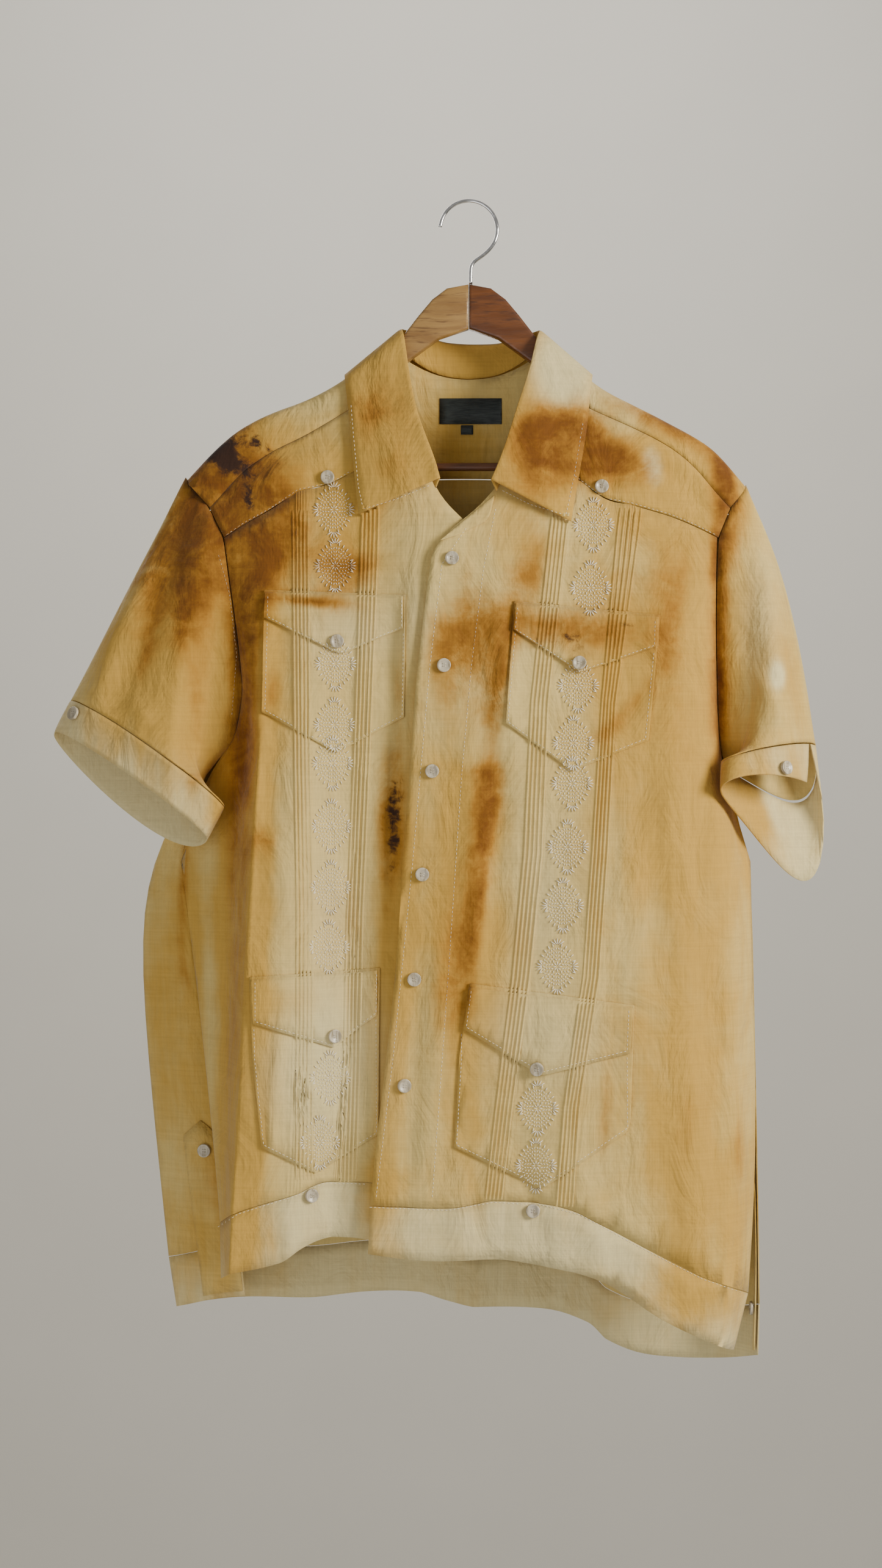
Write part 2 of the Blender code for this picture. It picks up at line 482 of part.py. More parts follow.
def wall(bm, lift, thickness, relief=0.0):
    """Gives a net its thickness: a plain inner face, and an outer one raised at the crests."""
    raised = bm.verts.layers.float["raised"]
    out = bm.verts.layers.float_vector["out"]
    for vert in bm.verts:
        vert.co += vert[out] * lift * MM
    made = bmesh.ops.extrude_face_region(bm, geom=bm.faces[:], use_keep_orig=True)
    for vert in (item for item in made["geom"] if isinstance(item, bmesh.types.BMVert)):
        vert.co += vert[out] * (thickness + relief * vert[raised]) * MM
    bmesh.ops.recalc_face_normals(bm, faces=bm.faces[:])


def trim(bm, outline):
    """Keeps what an outline of (x, drop), clockwise seen from the front, holds of a net."""
    eye = Vector((EYE_X, -EYE_DISTANCE, -EYE_DROP)) * MM
    for (x0, drop0), (x1, drop1) in zip(outline, outline[1:] + outline[:1]):
        start, end = seat(x0, drop0, 0.0), seat(x1, drop1, 0.0)
        side = (eye - start).cross(end - start).normalized()
        bmesh.ops.bisect_plane(bm, geom=bm.verts[:] + bm.edges[:] + bm.faces[:], dist=1e-6,
                               plane_co=start, plane_no=side, clear_outer=True)
    bmesh.ops.remove_doubles(bm, verts=bm.verts[:], dist=0.00005)
    bmesh.ops.triangulate(bm, faces=bm.faces[:])


def material(name, colour, roughness, metallic=0.0):
    made = bpy.data.materials.get(name) or bpy.data.materials.new(name)
    made.use_nodes = True
    shader = made.node_tree.nodes["Principled BSDF"]
    shader.inputs["Base Color"].default_value = (*colour, 1.0)
    shader.inputs["Roughness"].default_value = roughness
    shader.inputs["Metallic"].default_value = metallic
    return made


FINISHES = {
    "linen": ((0.78, 0.62, 0.36), 0.85, 0.0),
    "linen_collar": ((0.74, 0.52, 0.27), 0.85, 0.0),
    "hem_linen": ((0.84, 0.72, 0.48), 0.85, 0.0),
    "pearl": ((0.86, 0.80, 0.68), 0.3, 0.0),
    "label": ((0.02, 0.025, 0.025), 0.7, 0.0),
    "oak": ((0.52, 0.33, 0.16), 0.5, 0.0),
    "red_wood": ((0.36, 0.14, 0.06), 0.5, 0.0),
    "chrome": ((0.8, 0.8, 0.8), 0.15, 1.0),
}


def place(name, bm, finish, smooth_faces=True):
    """Makes a named part of a mesh."""
    mesh = bpy.data.meshes.new(name)
    bm.to_mesh(mesh)
    bm.free()
    if smooth_faces:
        mesh.shade_smooth()
        mesh.set_sharp_from_angle(angle=math.radians(50))
    part = bpy.data.objects.new(name, mesh)
    mesh.materials.append(material(finish, *FINISHES[finish]))
    shirt.objects.link(part)
    return part


FRONT_WAY = Vector((0.0, -1.0, 0.0))
BACK_WAY = Vector((0.0, 1.0, 0.0))
UP_WAY = Vector((0.0, 0.0, 1.0))


def panel_parts(name, section, plain, tuck_centres, rows, hem, way, sleeves, corners=()):
    """A panel down to the hem band's seam, the band below it, and their nets."""
    tucks = group_columns(tuck_centres)
    plain = [*plain, *(across(section, x, drop) for x, drop in corners)]
    columns = sorted([*plain, *(s for s, _ in tucks)])
    crests = {s for s, crest in tucks if crest}
    point = panel_point(section)
    turn = armhole_edge(section, sleeves, -way.y)
    body = sheet(columns, rows, point, way, crests, turn=turn)
    net = body.copy()
    wall(body, 0.0, WALL, TUCK_HEIGHT)
    place(name, body, "linen")
    plain_net = sheet(sorted([*plain, *tuck_centres]), rows, point, way, turn=turn)
    seam = rows[-1]

    def start(section, s):
        return seam(section, s) + BAND_SEAM_GAP

    band = sheet(columns, [start, hem], point, way)
    band_net = band.copy()
    wall(band, 0.0, WALL)
    place("hem_band_" + name, band, "hem_linen")
    return net, plain_net, band_net


def on_panel(name, plain_sheet, outline, lift, thickness, relief, finish):
    """A piece sewn on a panel: the panel's net inside an outline, lifted above it."""
    bm = plain_sheet.copy()
    trim(bm, outline)
    wall(bm, lift, thickness, relief)
    return place(name, bm, finish)


def front_rows(top, seam):
    return [along(top, straight)] + [level(drop) for drop in LEVELS] + [along(seam)]


def make_fronts():
    overlap = panel_parts("front_overlap", overlap_section, OVERLAP_PLAIN, FRONT_TUCKS,
                          front_rows(OVERLAP_TOP, OVERLAP_SEAM), along(OVERLAP_HEM), FRONT_WAY, {OVERLAP_PLAIN[-1]},
                          OVERLAP_TOP[6:8])
    underlap = panel_parts("front_underlap", underlap_section, UNDERLAP_PLAIN, FRONT_TUCKS,
                           front_rows(UNDERLAP_TOP, UNDERLAP_SEAM), along(UNDERLAP_HEM), FRONT_WAY,
                           {UNDERLAP_PLAIN[-1]}, UNDERLAP_TOP[4:6])
    pieces = (
        ("chest_left", underlap, CHEST_LEFT, CHEST_LEFT_FLAP),
        ("chest_right", overlap, CHEST_RIGHT, CHEST_RIGHT_FLAP),
        ("lower_left", underlap, LOWER_LEFT, LOWER_LEFT_FLAP),
        ("lower_right", overlap, LOWER_RIGHT, LOWER_RIGHT_FLAP),
    )
    for name, (net, plain_net, _), pocket, flap in pieces:
        on_panel("pocket_" + name, net, pocket, POCKET_LIFT, WALL, TUCK_HEIGHT, "linen")
        on_panel("pocket_band_" + name, plain_net, flap, FLAP_LIFT, WALL, 0.0, "linen")
    return overlap, underlap


def make_back():
    seam = along([(x, drop - BACK_BAND_HEIGHT) for x, drop in BACK_HEM])
    rows = [along(BACK_TOP)] + [level(drop) for drop in BACK_LEVELS] + [seam]
    panel_parts("back_panel", back_section, BACK_PLAIN, BACK_TUCKS, rows, along(BACK_HEM), BACK_WAY,
                {BACK_PLAIN[0], BACK_PLAIN[-1]})


def make_vent_tab(name, middle, top_drop):
    """A pointed strip up the back's edge of a side vent."""
    half = VENT_TAB_WIDTH / 2
    columns = (middle - half, middle, middle + half)

    def start(section, s):
        return top_drop if s == middle else top_drop + VENT_TAB_POINT

    foot = along([(x, drop - VENT_TAB_ABOVE_HEM) for x, drop in BACK_HEM])
    rows = (start, between(start, foot, 0.5), foot)
    net = sheet(columns, rows, panel_point(back_section), BACK_WAY if name == "right" else FRONT_WAY)
    flat = net.copy()
    wall(net, VENT_TAB_LIFT, WALL)
    place("vent_tab_" + name, net, "hem_linen")
    return flat


def across(section, x, drop):
    """The place s across a front whose seen x at a drop is the one given."""
    low, high = 0.0, 285.0
    rising = section(high, drop)[0] > section(low, drop)[0]
    for _ in range(24):
        middle = (low + high) / 2
        if (section(middle, drop)[0] < x) == rising:
            low = middle
        else:
            high = middle
    return low


def yoke_top(row, shift):
    """A point of the forward shoulder seam, shifted down it."""
    return Vector((row[0], row[1] + shift, SHOULDER_SEAM_FORWARD))


def front_yoke(name, table, section, edge, way):
    """From the forward shoulder seam down to the front's top seam, neck to armhole."""
    columns = list(range(len(table)))
    lower_x = sorted((x for x, _ in edge if x * way >= NECK_EDGE_X), key=abs)

    def point(i, share):
        top = yoke_top(table[i], 2 * SEAM_GAP)
        x = lower_x[i]
        drop = straight(edge, x) - YOKE_GAP
        forward = section(across(section, x, drop), drop)[1]
        low = Vector((x, drop, forward))
        spot = top.lerp(low, share)
        spot.z += YOKE_BULGE * math.sin(math.pi * share)
        return seat(*spot)

    net = sheet(columns, (0.0, 0.33, 0.66, 1.0), point, FRONT_WAY)
    plain = net.copy()
    wall(net, 0.0, WALL)
    place(name, net, "linen")
    return plain


def back_yoke_columns():
    """The back yoke's columns from the left armhole over the neck to the right one, as lists of points."""
    def over(row):
        seam = Vector((row[0], row[1], SHOULDER_SEAM_FORWARD))
        ridge = Vector((row[2], row[3], 0.0))
        low = foot(row[4])
        front = ridge + Vector((0.0, SHOULDER_FALL, SHOULDER_FLAT))
        behind = ridge + Vector((0.0, SHOULDER_FALL, -SHOULDER_FLAT))
        return [seam, front, ridge, behind, behind.lerp(low, 0.45), low]

    def foot(x):
        drop = curve(BACK_TOP, x) - YOKE_GAP
        stations_x = [back_section(s, drop)[0] for s in BACK_STATIONS]
        forwards = [back_section(s, drop)[1] for s in BACK_STATIONS]
        return Vector((x, drop, float(np.interp(x, stations_x[1:-1], forwards[1:-1]))))

    columns = []
    for row in reversed(YOKE_LEFT):
        columns.append(over(row))
    for x, drop, forward in NECK_BACK:
        top, low = Vector((x, drop, forward)), foot(x)
        columns.append([top.lerp(low, share) for share in NECK_SHARES] + [low])
    for row in YOKE_RIGHT:
        columns.append(over(row))
    return columns


def make_yokes():
    columns = back_yoke_columns()
    first = len(YOKE_LEFT)
    last = first + len(NECK_BACK) - 1

    def in_neck(i, j):
        return first <= i <= last and j < NECK_ROW

    net = sheet(range(len(columns)), range(len(columns[0])), lambda i, j: seat(*columns[i][j]), UP_WAY + BACK_WAY,
                missing=in_neck)
    back = net.copy()
    wall(net, 0.0, WALL)
    place("back_yoke", net, "linen")
    left = front_yoke("front_yoke_left", YOKE_LEFT, underlap_section, UNDERLAP_TOP, -1.0)
    right = front_yoke("front_yoke_right", YOKE_RIGHT, overlap_section, OVERLAP_TOP, 1.0)
    return back, left, right


def make_collar():
    marks = [float(i) for i in range(len(COLLAR))]

    def spot(u, v):
        row = [smooth(marks, [line[i] for line in COLLAR], u) for i in range(9)]
        seam, roll, edge = Vector(row[0:3]), Vector(row[3:6]), Vector(row[6:9])
        fall = roll.lerp(edge, 0.5)
        lean = (edge - roll).normalized() * COLLAR_SPREAD
        path = (seam, roll - lean, roll + lean, fall, edge)
        keys = (0.0, 1.0 - COLLAR_TURN, 1.0 + COLLAR_TURN, 1.5, 2.0)
        point = Vector([smooth(keys, [mark[k] for mark in path], v) for k in range(3)])
        return seat(*point)

    columns = [i / 2 for i in range(2 * len(COLLAR) - 1)]
    net = sheet(columns, COLLAR_ACROSS, spot, UP_WAY)
    wall(net, 0.0, COLLAR_WALL)
    place("collar", net, "linen_collar")


def armhole_loop(table):
    """The sleeve's seam: points from the shoulder down the front to the underarm and up the back."""
    front = [(row[1], row[0], row[2]) for row in table]
    back = [(row[3], row[0], row[4]) for row in reversed(table)]
    corners = [Vector(spot) for spot in front + back[1:]]
    loop = []
    for first, second in zip(corners, corners[1:]):
        loop += [first, first.lerp(second, 0.5)]
    return loop


def sleeve_ring(row, index, lean):
    """A point of a ring round a sleeve: 0 is its outer edge, then the front, the inner edge and the back."""
    share = 2.0 * index / SLEEVE_SIDES
    angle = math.pi * (share if share <= 1.0 else 2.0 - share)
    outer, inner = Vector(row[1:4]), Vector(row[4:7])
    front, back, front_droop, back_droop = row[7:11]
    spot = outer.lerp(inner, (1.0 - math.cos(angle)) / 2.0)
    ahead = share <= 1.0
    spot.z += math.sin(angle) * (front if ahead else -back)
    if not ahead:
        spot.x += math.sin(angle) * math.copysign(SLEEVE_BACK_OUT, outer.x)
    spot.y += math.sin(angle) * (front_droop if ahead else back_droop * (1.0 + lean * math.cos(angle)))
    return spot


def make_sleeve(side, table, rings, cuff, slit, lean, clearance):
    """A sleeve from its armhole to the cuff's seam, and the cuff below, open at its slit."""
    loop = armhole_loop(table)
    start = [spot + Vector((clearance, 0.0, 0.0)) for spot in loop]
    marks = [0.0] + [row[0] for row in rings]

    def body_point(index, t):
        spots = [start[index % SLEEVE_SIDES]] + [sleeve_ring(row, index % SLEEVE_SIDES, lean) for row in rings]
        return seat(*[smooth(marks, [spot[k] for spot in spots], t) for k in range(3)])

    def turn(index, t):
        if t > 0.0:
            return None
        drop = loop[index % SLEEVE_SIDES].y
        return armhole_out(drop, 1.0 if index % SLEEVE_SIDES <= SLEEVE_SIDES // 2 else -1.0)

    net = sheet(range(SLEEVE_SIDES + 1), SLEEVE_ROWS, body_point, None, closed=True, turn=turn)
    wall(net, 0.0, WALL)
    place("sleeve_" + side, net, "linen")

    first = rings[-1]
    cuff_marks = (0.0, 0.5, 1.0)

    def cuff_point(share, t):
        opened = slit[0] + (slit[1] - slit[0]) * t
        closed_at = SLEEVE_SIDES + slit[2] + (slit[3] - slit[2]) * t
        index = (opened + (closed_at - opened) * share) % SLEEVE_SIDES
        spots = [sleeve_ring(row, index, lean) for row in (first, *cuff)]
        return seat(*[smooth(cuff_marks, [spot[k] for spot in spots], t) for k in range(3)])

    shares = [i / SLEEVE_SIDES for i in range(SLEEVE_SIDES + 1)]
    net = sheet(shares, CUFF_ROWS, cuff_point, None)
    wall(net, 0.0, WALL)
    spot, normal, _, _ = BVHTree.FromBMesh(net).find_nearest(seat(*CUFF_BUTTONS[side]))
    make_button("button_cuff_" + side, spot + normal * BUTTON_SEAT * MM, normal)
    place("cuff_" + side, net, "hem_linen")
    return body_point


def surface_hit(net, x, drop):
    """Where the line of sight through x and drop meets a net, and the net's outward normal there."""
    eye = Vector((EYE_X, -EYE_DISTANCE, -EYE_DROP)) * MM
    tree = BVHTree.FromBMesh(net)
    spot, normal, _, _ = tree.ray_cast(eye, seat(x, drop, 0.0) - eye)
    return spot, normal


def make_button(name, spot, normal):
    """A dished disc whose back lies at spot."""
    bm = bmesh.new()
    radius, height = BUTTON_DIAMETER / 2 * MM, BUTTON_THICKNESS * MM
    bmesh.ops.create_cone(bm, cap_ends=True, segments=BUTTON_SIDES, radius1=radius, radius2=radius * BUTTON_TAPER,
                          depth=height)
    top = max(bm.faces, key=lambda face: face.calc_center_median().z)
    bmesh.ops.inset_region(bm, faces=[top], thickness=BUTTON_RIM * MM, depth=-BUTTON_DISH * MM)
    bmesh.ops.translate(bm, verts=bm.verts[:], vec=(0.0, 0.0, height / 2))
    turn = normal.to_track_quat("Z", "Y").to_matrix().to_4x4()
    bmesh.ops.transform(bm, matrix=Matrix.Translation(spot) @ turn, verts=bm.verts[:])
    return place(name, bm, "pearl")


def sew_button(name, net, place_at, lift):
    spot, normal = surface_hit(net, *place_at)
    make_button("button_" + name, spot + normal * lift * MM, normal)


def sew_at(name, net, place_at):
    """A button on a vent tab, at (s, drop) of the back."""
    s, drop = place_at
    x, forward = back_section(s, drop)
    spot, normal, _, _ = BVHTree.FromBMesh(net).find_nearest(seat(x, drop, forward))
    make_button("button_" + name, spot + normal * (VENT_TAB_LIFT + WALL + BUTTON_SEAT) * MM, normal)


def make_buttons(overlap, underlap, yoke_left, yoke_right):
    cloth_lift = WALL + BUTTON_SEAT
    for i, place_at in enumerate(PLACKET_BUTTONS, start=1):
        sew_button(f"placket_{i}", overlap[1], place_at, cloth_lift)
    for name, place_at in FLAP_BUTTONS.items():
        panel = overlap if "right" in name else underlap
        sew_button(name, panel[1], place_at, FLAP_LIFT + cloth_lift)
    sew_button("hem_left", underlap[2], HEM_BUTTONS["left"], cloth_lift)
    sew_button("hem_right", overlap[2], HEM_BUTTONS["right"], cloth_lift)
    sew_button("yoke_left", yoke_left, YOKE_BUTTONS["left"], cloth_lift)
    sew_button("yoke_right", yoke_right, YOKE_BUTTONS["right"], cloth_lift)


def flat_outline(name, points, thickness, finish):
    """A flat piece cut to an outline of (x, drop), facing forward, centred on the hanger's plane."""
    outline = bpy.data.curves.new(name + "_outline", "CURVE")
    outline.dimensions = "2D"
    outline.fill_mode = "BOTH"
    outline.extrude = thickness / 2 * MM
    spline = outline.splines.new("POLY")
    spline.points.add(len(points) - 1)
    for point, (x, drop) in zip(spline.points, points):
        point.co = (x * MM, -drop * MM, 0.0, 1.0)
    spline.use_cyclic_u = True
    part = bpy.data.objects.new(name, outline)
    part.rotation_euler = (math.pi / 2, 0.0, 0.0)
    outline.materials.append(material(finish, *FINISHES[finish]))
    shirt.objects.link(part)
    return part


def arm_outline(table, way):
    """Half of the hanger, from the middle out to the lobe that holds the bar."""
    top = list(ARM_NECK)
    reach = ARM_REACH - ARM_TOP_END
    top += [(abs(row[2]), row[3] + ARM_UNDER_RIDGE) for row in table if abs(row[2]) <= reach]
    lobe = [
        (ARM_REACH, top[-1][1] + ARM_END_FALL),
        (ARM_REACH, ARM_LOBE_DROP),
        (ARM_REACH - LOBE_SLANT, BAR_DROP + LOBE_BELOW_BAR),
        (BAR_REACH, BAR_DROP + LOBE_BELOW_BAR),
        (BAR_REACH, LOBE_INSIDE_DROP),
    ]
    return [(x * way, drop) for x, drop in top + lobe + list(ARM_UNDERSIDE)]


def make_tube(name, points, diameter, finish):
    """A round rod or wire along points, its ends closed."""
    tube = bpy.data.curves.new(name + "_path", "CURVE")
    tube.dimensions = "3D"
    tube.bevel_depth = diameter / 2 * MM
    tube.bevel_resolution = TUBE_RESOLUTION
    tube.use_fill_caps = True
    spline = tube.splines.new("POLY")
    spline.points.add(len(points) - 1)
    for point, spot in zip(spline.points, points):
        point.co = (*spot, 1.0)
    part = bpy.data.objects.new(name, tube)
    tube.materials.append(material(finish, *FINISHES[finish]))
    shirt.objects.link(part)
    return part


def hook_points():
    """From the hook's free tip over the top and down its far side into the stem."""
    radius = HOOK_INSIDE_RADIUS + WIRE_DIAMETER / 2
    points = []
    for i in range(HOOK_STEPS + 1):
        angle = math.radians(HOOK_TIP_ANGLE + (HOOK_END_ANGLE - HOOK_TIP_ANGLE) * i / HOOK_STEPS)
        points.append(Vector((radius * math.cos(angle), HOOK_INSIDE_RADIUS - radius * math.sin(angle))))
    last = points[-1]
    way = Vector((math.sin(math.radians(HOOK_END_ANGLE)), math.cos(math.radians(HOOK_END_ANGLE))))
    top = Vector((STEM_X, STEM_TOP))
    first_pull = last + way * HOOK_END_PULL
    second_pull = top - Vector((0.0, STEM_PULL))
    for i in range(1, STEM_STEPS + 1):
        t = i / STEM_STEPS
        u = 1 - t
        points.append(last * u**3 + first_pull * 3 * t * u**2 + second_pull * 3 * t**2 * u + top * t**3)
    points.append(Vector((STEM_X, STEM_FOOT)))
    return [Vector((p.x, 0.0, -p.y)) * MM for p in points]


def make_hanger():
    flat_outline("hanger_arm_left", arm_outline(YOKE_LEFT, -1.0), ARM_THICKNESS, "oak")
    flat_outline("hanger_arm_right", arm_outline(YOKE_RIGHT, 1.0), ARM_THICKNESS, "red_wood")
    end = (BAR_REACH - SEAM_GAP) * MM
    bar = [Vector((end * way, 0.0, -BAR_DROP * MM)) for way in (-1.0, 1.0)]
    make_tube("hanger_bar", bar, BAR_DIAMETER, "red_wood")
    make_tube("hanger_hook", hook_points(), WIRE_DIAMETER, "chrome")


shirt = bpy.data.collections.new("guayabera_shirt")


def main():
    for item in list(bpy.data.objects):
        bpy.data.objects.remove(item, do_unlink=True)
    bpy.context.scene.collection.children.link(shirt)
    overlap, underlap = make_fronts()
    make_back()
    tab_left = make_vent_tab("left", VENT_TABS["left"][0], VENT_TABS["left"][1])
    tab_right = make_vent_tab("right", VENT_TABS["right"][0], VENT_TABS["right"][1])
    back_net, yoke_left, yoke_right = make_yokes()
    make_collar()
    make_sleeve("left", ARMHOLE_LEFT, SLEEVE_LEFT, CUFF_LEFT, LEFT_SLIT, LEFT_LEAN, -ARMHOLE_GAP)
    make_sleeve("right", ARMHOLE_RIGHT, SLEEVE_RIGHT, CUFF_RIGHT, RIGHT_SLIT, RIGHT_LEAN, ARMHOLE_GAP)
    on_panel("lapel_facing", overlap[1], LAPEL, FACING_LIFT, WALL, 0.0, "linen")
    on_panel("label", back_net, LABEL, -SEAM_GAP - LABEL_THICKNESS, LABEL_THICKNESS, 0.0, "label")
    on_panel("size_tab", back_net, SIZE_TAB, -SEAM_GAP - LABEL_THICKNESS, LABEL_THICKNESS, 0.0, "label")
    make_buttons(overlap, underlap, yoke_left, yoke_right)
    sew_at("vent_left", tab_left, VENT_BUTTONS["left"])
    sew_at("vent_right", tab_right, VENT_BUTTONS["right"])
    make_hanger()


main()
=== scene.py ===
import math

import bmesh
import bpy
import numpy as np
from mathutils import Matrix, Vector
from mathutils.bvhtree import BVHTree


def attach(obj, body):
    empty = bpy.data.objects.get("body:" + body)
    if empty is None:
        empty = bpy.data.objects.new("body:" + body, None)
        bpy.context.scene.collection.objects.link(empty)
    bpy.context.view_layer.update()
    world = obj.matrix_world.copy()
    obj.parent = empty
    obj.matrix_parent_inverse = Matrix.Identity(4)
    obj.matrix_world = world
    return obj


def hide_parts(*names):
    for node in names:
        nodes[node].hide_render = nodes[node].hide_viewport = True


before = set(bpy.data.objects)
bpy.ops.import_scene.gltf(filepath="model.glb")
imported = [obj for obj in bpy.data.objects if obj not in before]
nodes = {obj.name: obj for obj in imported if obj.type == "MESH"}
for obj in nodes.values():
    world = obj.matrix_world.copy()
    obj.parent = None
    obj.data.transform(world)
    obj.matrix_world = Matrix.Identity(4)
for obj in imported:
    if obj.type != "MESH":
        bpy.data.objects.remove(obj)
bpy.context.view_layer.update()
mm = 0.001
print("frame loaded:", len(nodes), "nodes")

# Everything placed on the shirt is given by the x and drop (mm) at which the camera sees it
photoView = {"x": -22.75, "drop": 476.0, "distance": 1854.0, "lens": 52.0, "sensor": 36.0}
eye = Vector((photoView["x"], -photoView["distance"], -photoView["drop"])) * mm


def seen(points):
    forward = -points[:, 1] / mm
    near = photoView["distance"] / (photoView["distance"] - forward)
    x = photoView["x"] + (points[:, 0] / mm - photoView["x"]) * near
    drop = photoView["drop"] + (-points[:, 2] / mm - photoView["drop"]) * near
    return x, drop, forward


def link(piece):
    bpy.context.scene.collection.objects.link(piece)
    return piece


def softStep(low, high, value):
    t = np.clip((value - low) / (high - low), 0.0, 1.0)
    return t * t * (3.0 - 2.0 * t)


def makeCamera():
    data = bpy.data.cameras.new("photoCamera")
    data.lens = photoView["lens"]
    data.sensor_width = photoView["sensor"]
    camera = link(bpy.data.objects.new("photoCamera", data))
    camera.location = eye
    camera.rotation_euler = (math.pi / 2, 0.0, 0.0)
    bpy.context.scene.camera = camera


# Materials: shader sums are written as sums, and every node comes from one method
class Level:
    def __init__(self, finish, socket):
        self.finish, self.socket = finish, socket

    def join(self, operation, first, second):
        made = self.finish.node("ShaderNodeMath", {"operation": operation}, {0: first, 1: second})
        return Level(self.finish, made.outputs[0])

    def __add__(self, other): return self.join("ADD", self, other)
    def __sub__(self, other): return self.join("SUBTRACT", self, other)
    def __mul__(self, other): return self.join("MULTIPLY", self, other)

    def ramp(self, low, high, bottom=0.0, top=1.0):    # soft step between two levels
        made = self.finish.node("ShaderNodeMapRange", {"interpolation_type": "SMOOTHSTEP"},
                                {0: self, 1: low, 2: high, 3: bottom, 4: top})
        return Level(self.finish, made.outputs[0])


class Finish:
    def __init__(self, name, roughness, **fixed):
        self.material = bpy.data.materials.new(name)
        self.material.use_nodes = True
        self.tree = self.material.node_tree
        self.shader = self.tree.nodes["Principled BSDF"]
        self.shader.inputs["Roughness"].default_value = roughness
        for socket, amount in fixed.items():
            self.shader.inputs[socket.replace("_", " ")].default_value = amount
        self.place = self.node("ShaderNodeTexCoord").outputs["Object"]

    def node(self, kind, settings=None, values=None):
        made = self.tree.nodes.new(kind)
        for name, setting in (settings or {}).items():
            setattr(made, name, setting)
        for key, value in (values or {}).items():
            self.plug(value, made.inputs[key])
        return made

    def plug(self, value, socket):
        if isinstance(value, Level):
            value = value.socket
        if isinstance(value, bpy.types.NodeSocket):
            self.tree.links.new(value, socket)
        elif isinstance(value, tuple) and len(value) == 3 and socket.type == "RGBA":
            socket.default_value = (*value, 1.0)
        else:
            socket.default_value = value

    def noise(self, scale, detail=3.0, rough=0.55, stretch=(1.0, 1.0, 1.0), bend=0.0):
        spot = self.node("ShaderNodeMapping", None, {"Vector": self.place, "Scale": stretch}).outputs[0]
        made = self.node("ShaderNodeTexNoise", None, {
            "Vector": spot, "Scale": scale, "Detail": detail, "Roughness": rough, "Distortion": bend})
        return Level(self, made.outputs["Fac"])

    def painted(self, name):
        return Level(self, self.node("ShaderNodeAttribute", {"attribute_name": name}).outputs["Fac"])

    def mix(self, amount, under, over, blend="MIX"):
        made = self.node("ShaderNodeMix", {"data_type": "RGBA", "blend_type": blend})
        self.plug(amount, made.inputs[0])
        self.plug(under, made.inputs[6])
        self.plug(over, made.inputs[7])
        return made.outputs[2]

    def shade(self, colour, height=None, depth=0.0, roughness=None):
        self.plug(colour, self.shader.inputs["Base Color"])
        if roughness is not None:
            self.plug(roughness, self.shader.inputs["Roughness"])
        if height is not None:
            bump = self.node("ShaderNodeBump", None, {"Height": height, "Distance": depth, "Strength": 1.0})
            self.plug(bump.outputs[0], self.shader.inputs["Normal"])
        return self.material


# Linen: dyed by rust and wear, with painted shade laid into its recesses in the same colours. Colours are
# linear
linenColours = {
    "cream": (0.67, 0.50, 0.175), "gold": (0.56, 0.33, 0.060), "pale": (0.72, 0.60, 0.30),
    "rustAndShade": (0.40, 0.180, 0.018), "deepStainAndShade": (0.17, 0.058, 0.004), "dark": (0.040, 0.016, 0.008),
}


def linen(name, ground="cream"):
    cloth = Finish(name, 0.88, Sheen_Weight=0.12, Sheen_Roughness=0.5, Specular_IOR_Level=0.25)
    cloud = cloth.noise(9.0, 5.0, 0.6, bend=0.4)
    drift = cloth.noise(24.0, 5.0, 0.62, bend=0.8)
    spot = cloth.noise(85.0, 6.0, 0.7, bend=0.5)
    run = cloth.noise(26.0, 4.0, 0.6, (1.0, 1.0, 0.22), bend=0.5)    # stains run down the cloth
    warp = cloth.noise(620.0, 2.0, 0.5, (1.0, 1.0, 0.035))
    weft = cloth.noise(620.0, 2.0, 0.5, (0.035, 0.035, 1.0))
    slub = cloth.noise(210.0, 2.0, 0.5, (0.03, 0.03, 1.0))

    # the gold mask also carries painted shade in the recesses by the placket, the armholes and the left side
    gold = (cloth.painted("gold") + (cloud - 0.5) * 1.5 + (run - 0.5) * 1.1 + 0.12).ramp(0.02, 0.95)
    pale = (cloth.painted("pale") + (cloud - 0.5) * 0.5).ramp(0.12, 0.9)
    # the rust mask also carries painted shade where the stain tables put marks in recesses
    rustAndShade = cloth.painted("rustAndShade") * (drift * 1.1 + spot * 0.9) + (run - 0.5) * 0.8 + (drift - 0.5) * 0.4
    dark = (cloth.painted("dark") + (spot - 0.5) * 1.9 + (drift - 0.5) * 0.8).ramp(0.42, 0.86)
    # the strongest rust marks turn to the tide colour: a real stain's tide, and deeper painted shade in the
    # recesses
    stainAndShade = rustAndShade.ramp(0.10, 1.10)
    deepStainAndShade = rustAndShade.ramp(0.70, 1.65)

    colour = cloth.mix(gold, linenColours[ground], linenColours["gold"])
    colour = cloth.mix(pale, colour, linenColours["pale"])
    colour = cloth.mix(stainAndShade, colour, linenColours["rustAndShade"])
    colour = cloth.mix(deepStainAndShade, colour, linenColours["deepStainAndShade"])
    colour = cloth.mix(dark, colour, linenColours["dark"])
    threads = (warp - 0.5) * 0.4 + (weft - 0.5) * 0.4 + (slub - 0.5) * 0.12
    tone = (threads + 0.5).ramp(0.2, 0.8, 0.86, 1.08)
    grey = cloth.node("ShaderNodeCombineColor", None, {0: tone, 1: tone, 2: tone}).outputs[0]
    colour = cloth.mix(1.0, colour, grey, "MULTIPLY")
    crumple = cloth.noise(30.0, 4.0, 0.55, (1.0, 1.0, 0.55), bend=0.8)
    pucker = cloth.noise(95.0, 3.0, 0.5, bend=0.4)
    height = threads * 0.16 + crumple * 1.6 + pucker * 0.22
    return cloth.shade(colour, height, 0.0030)


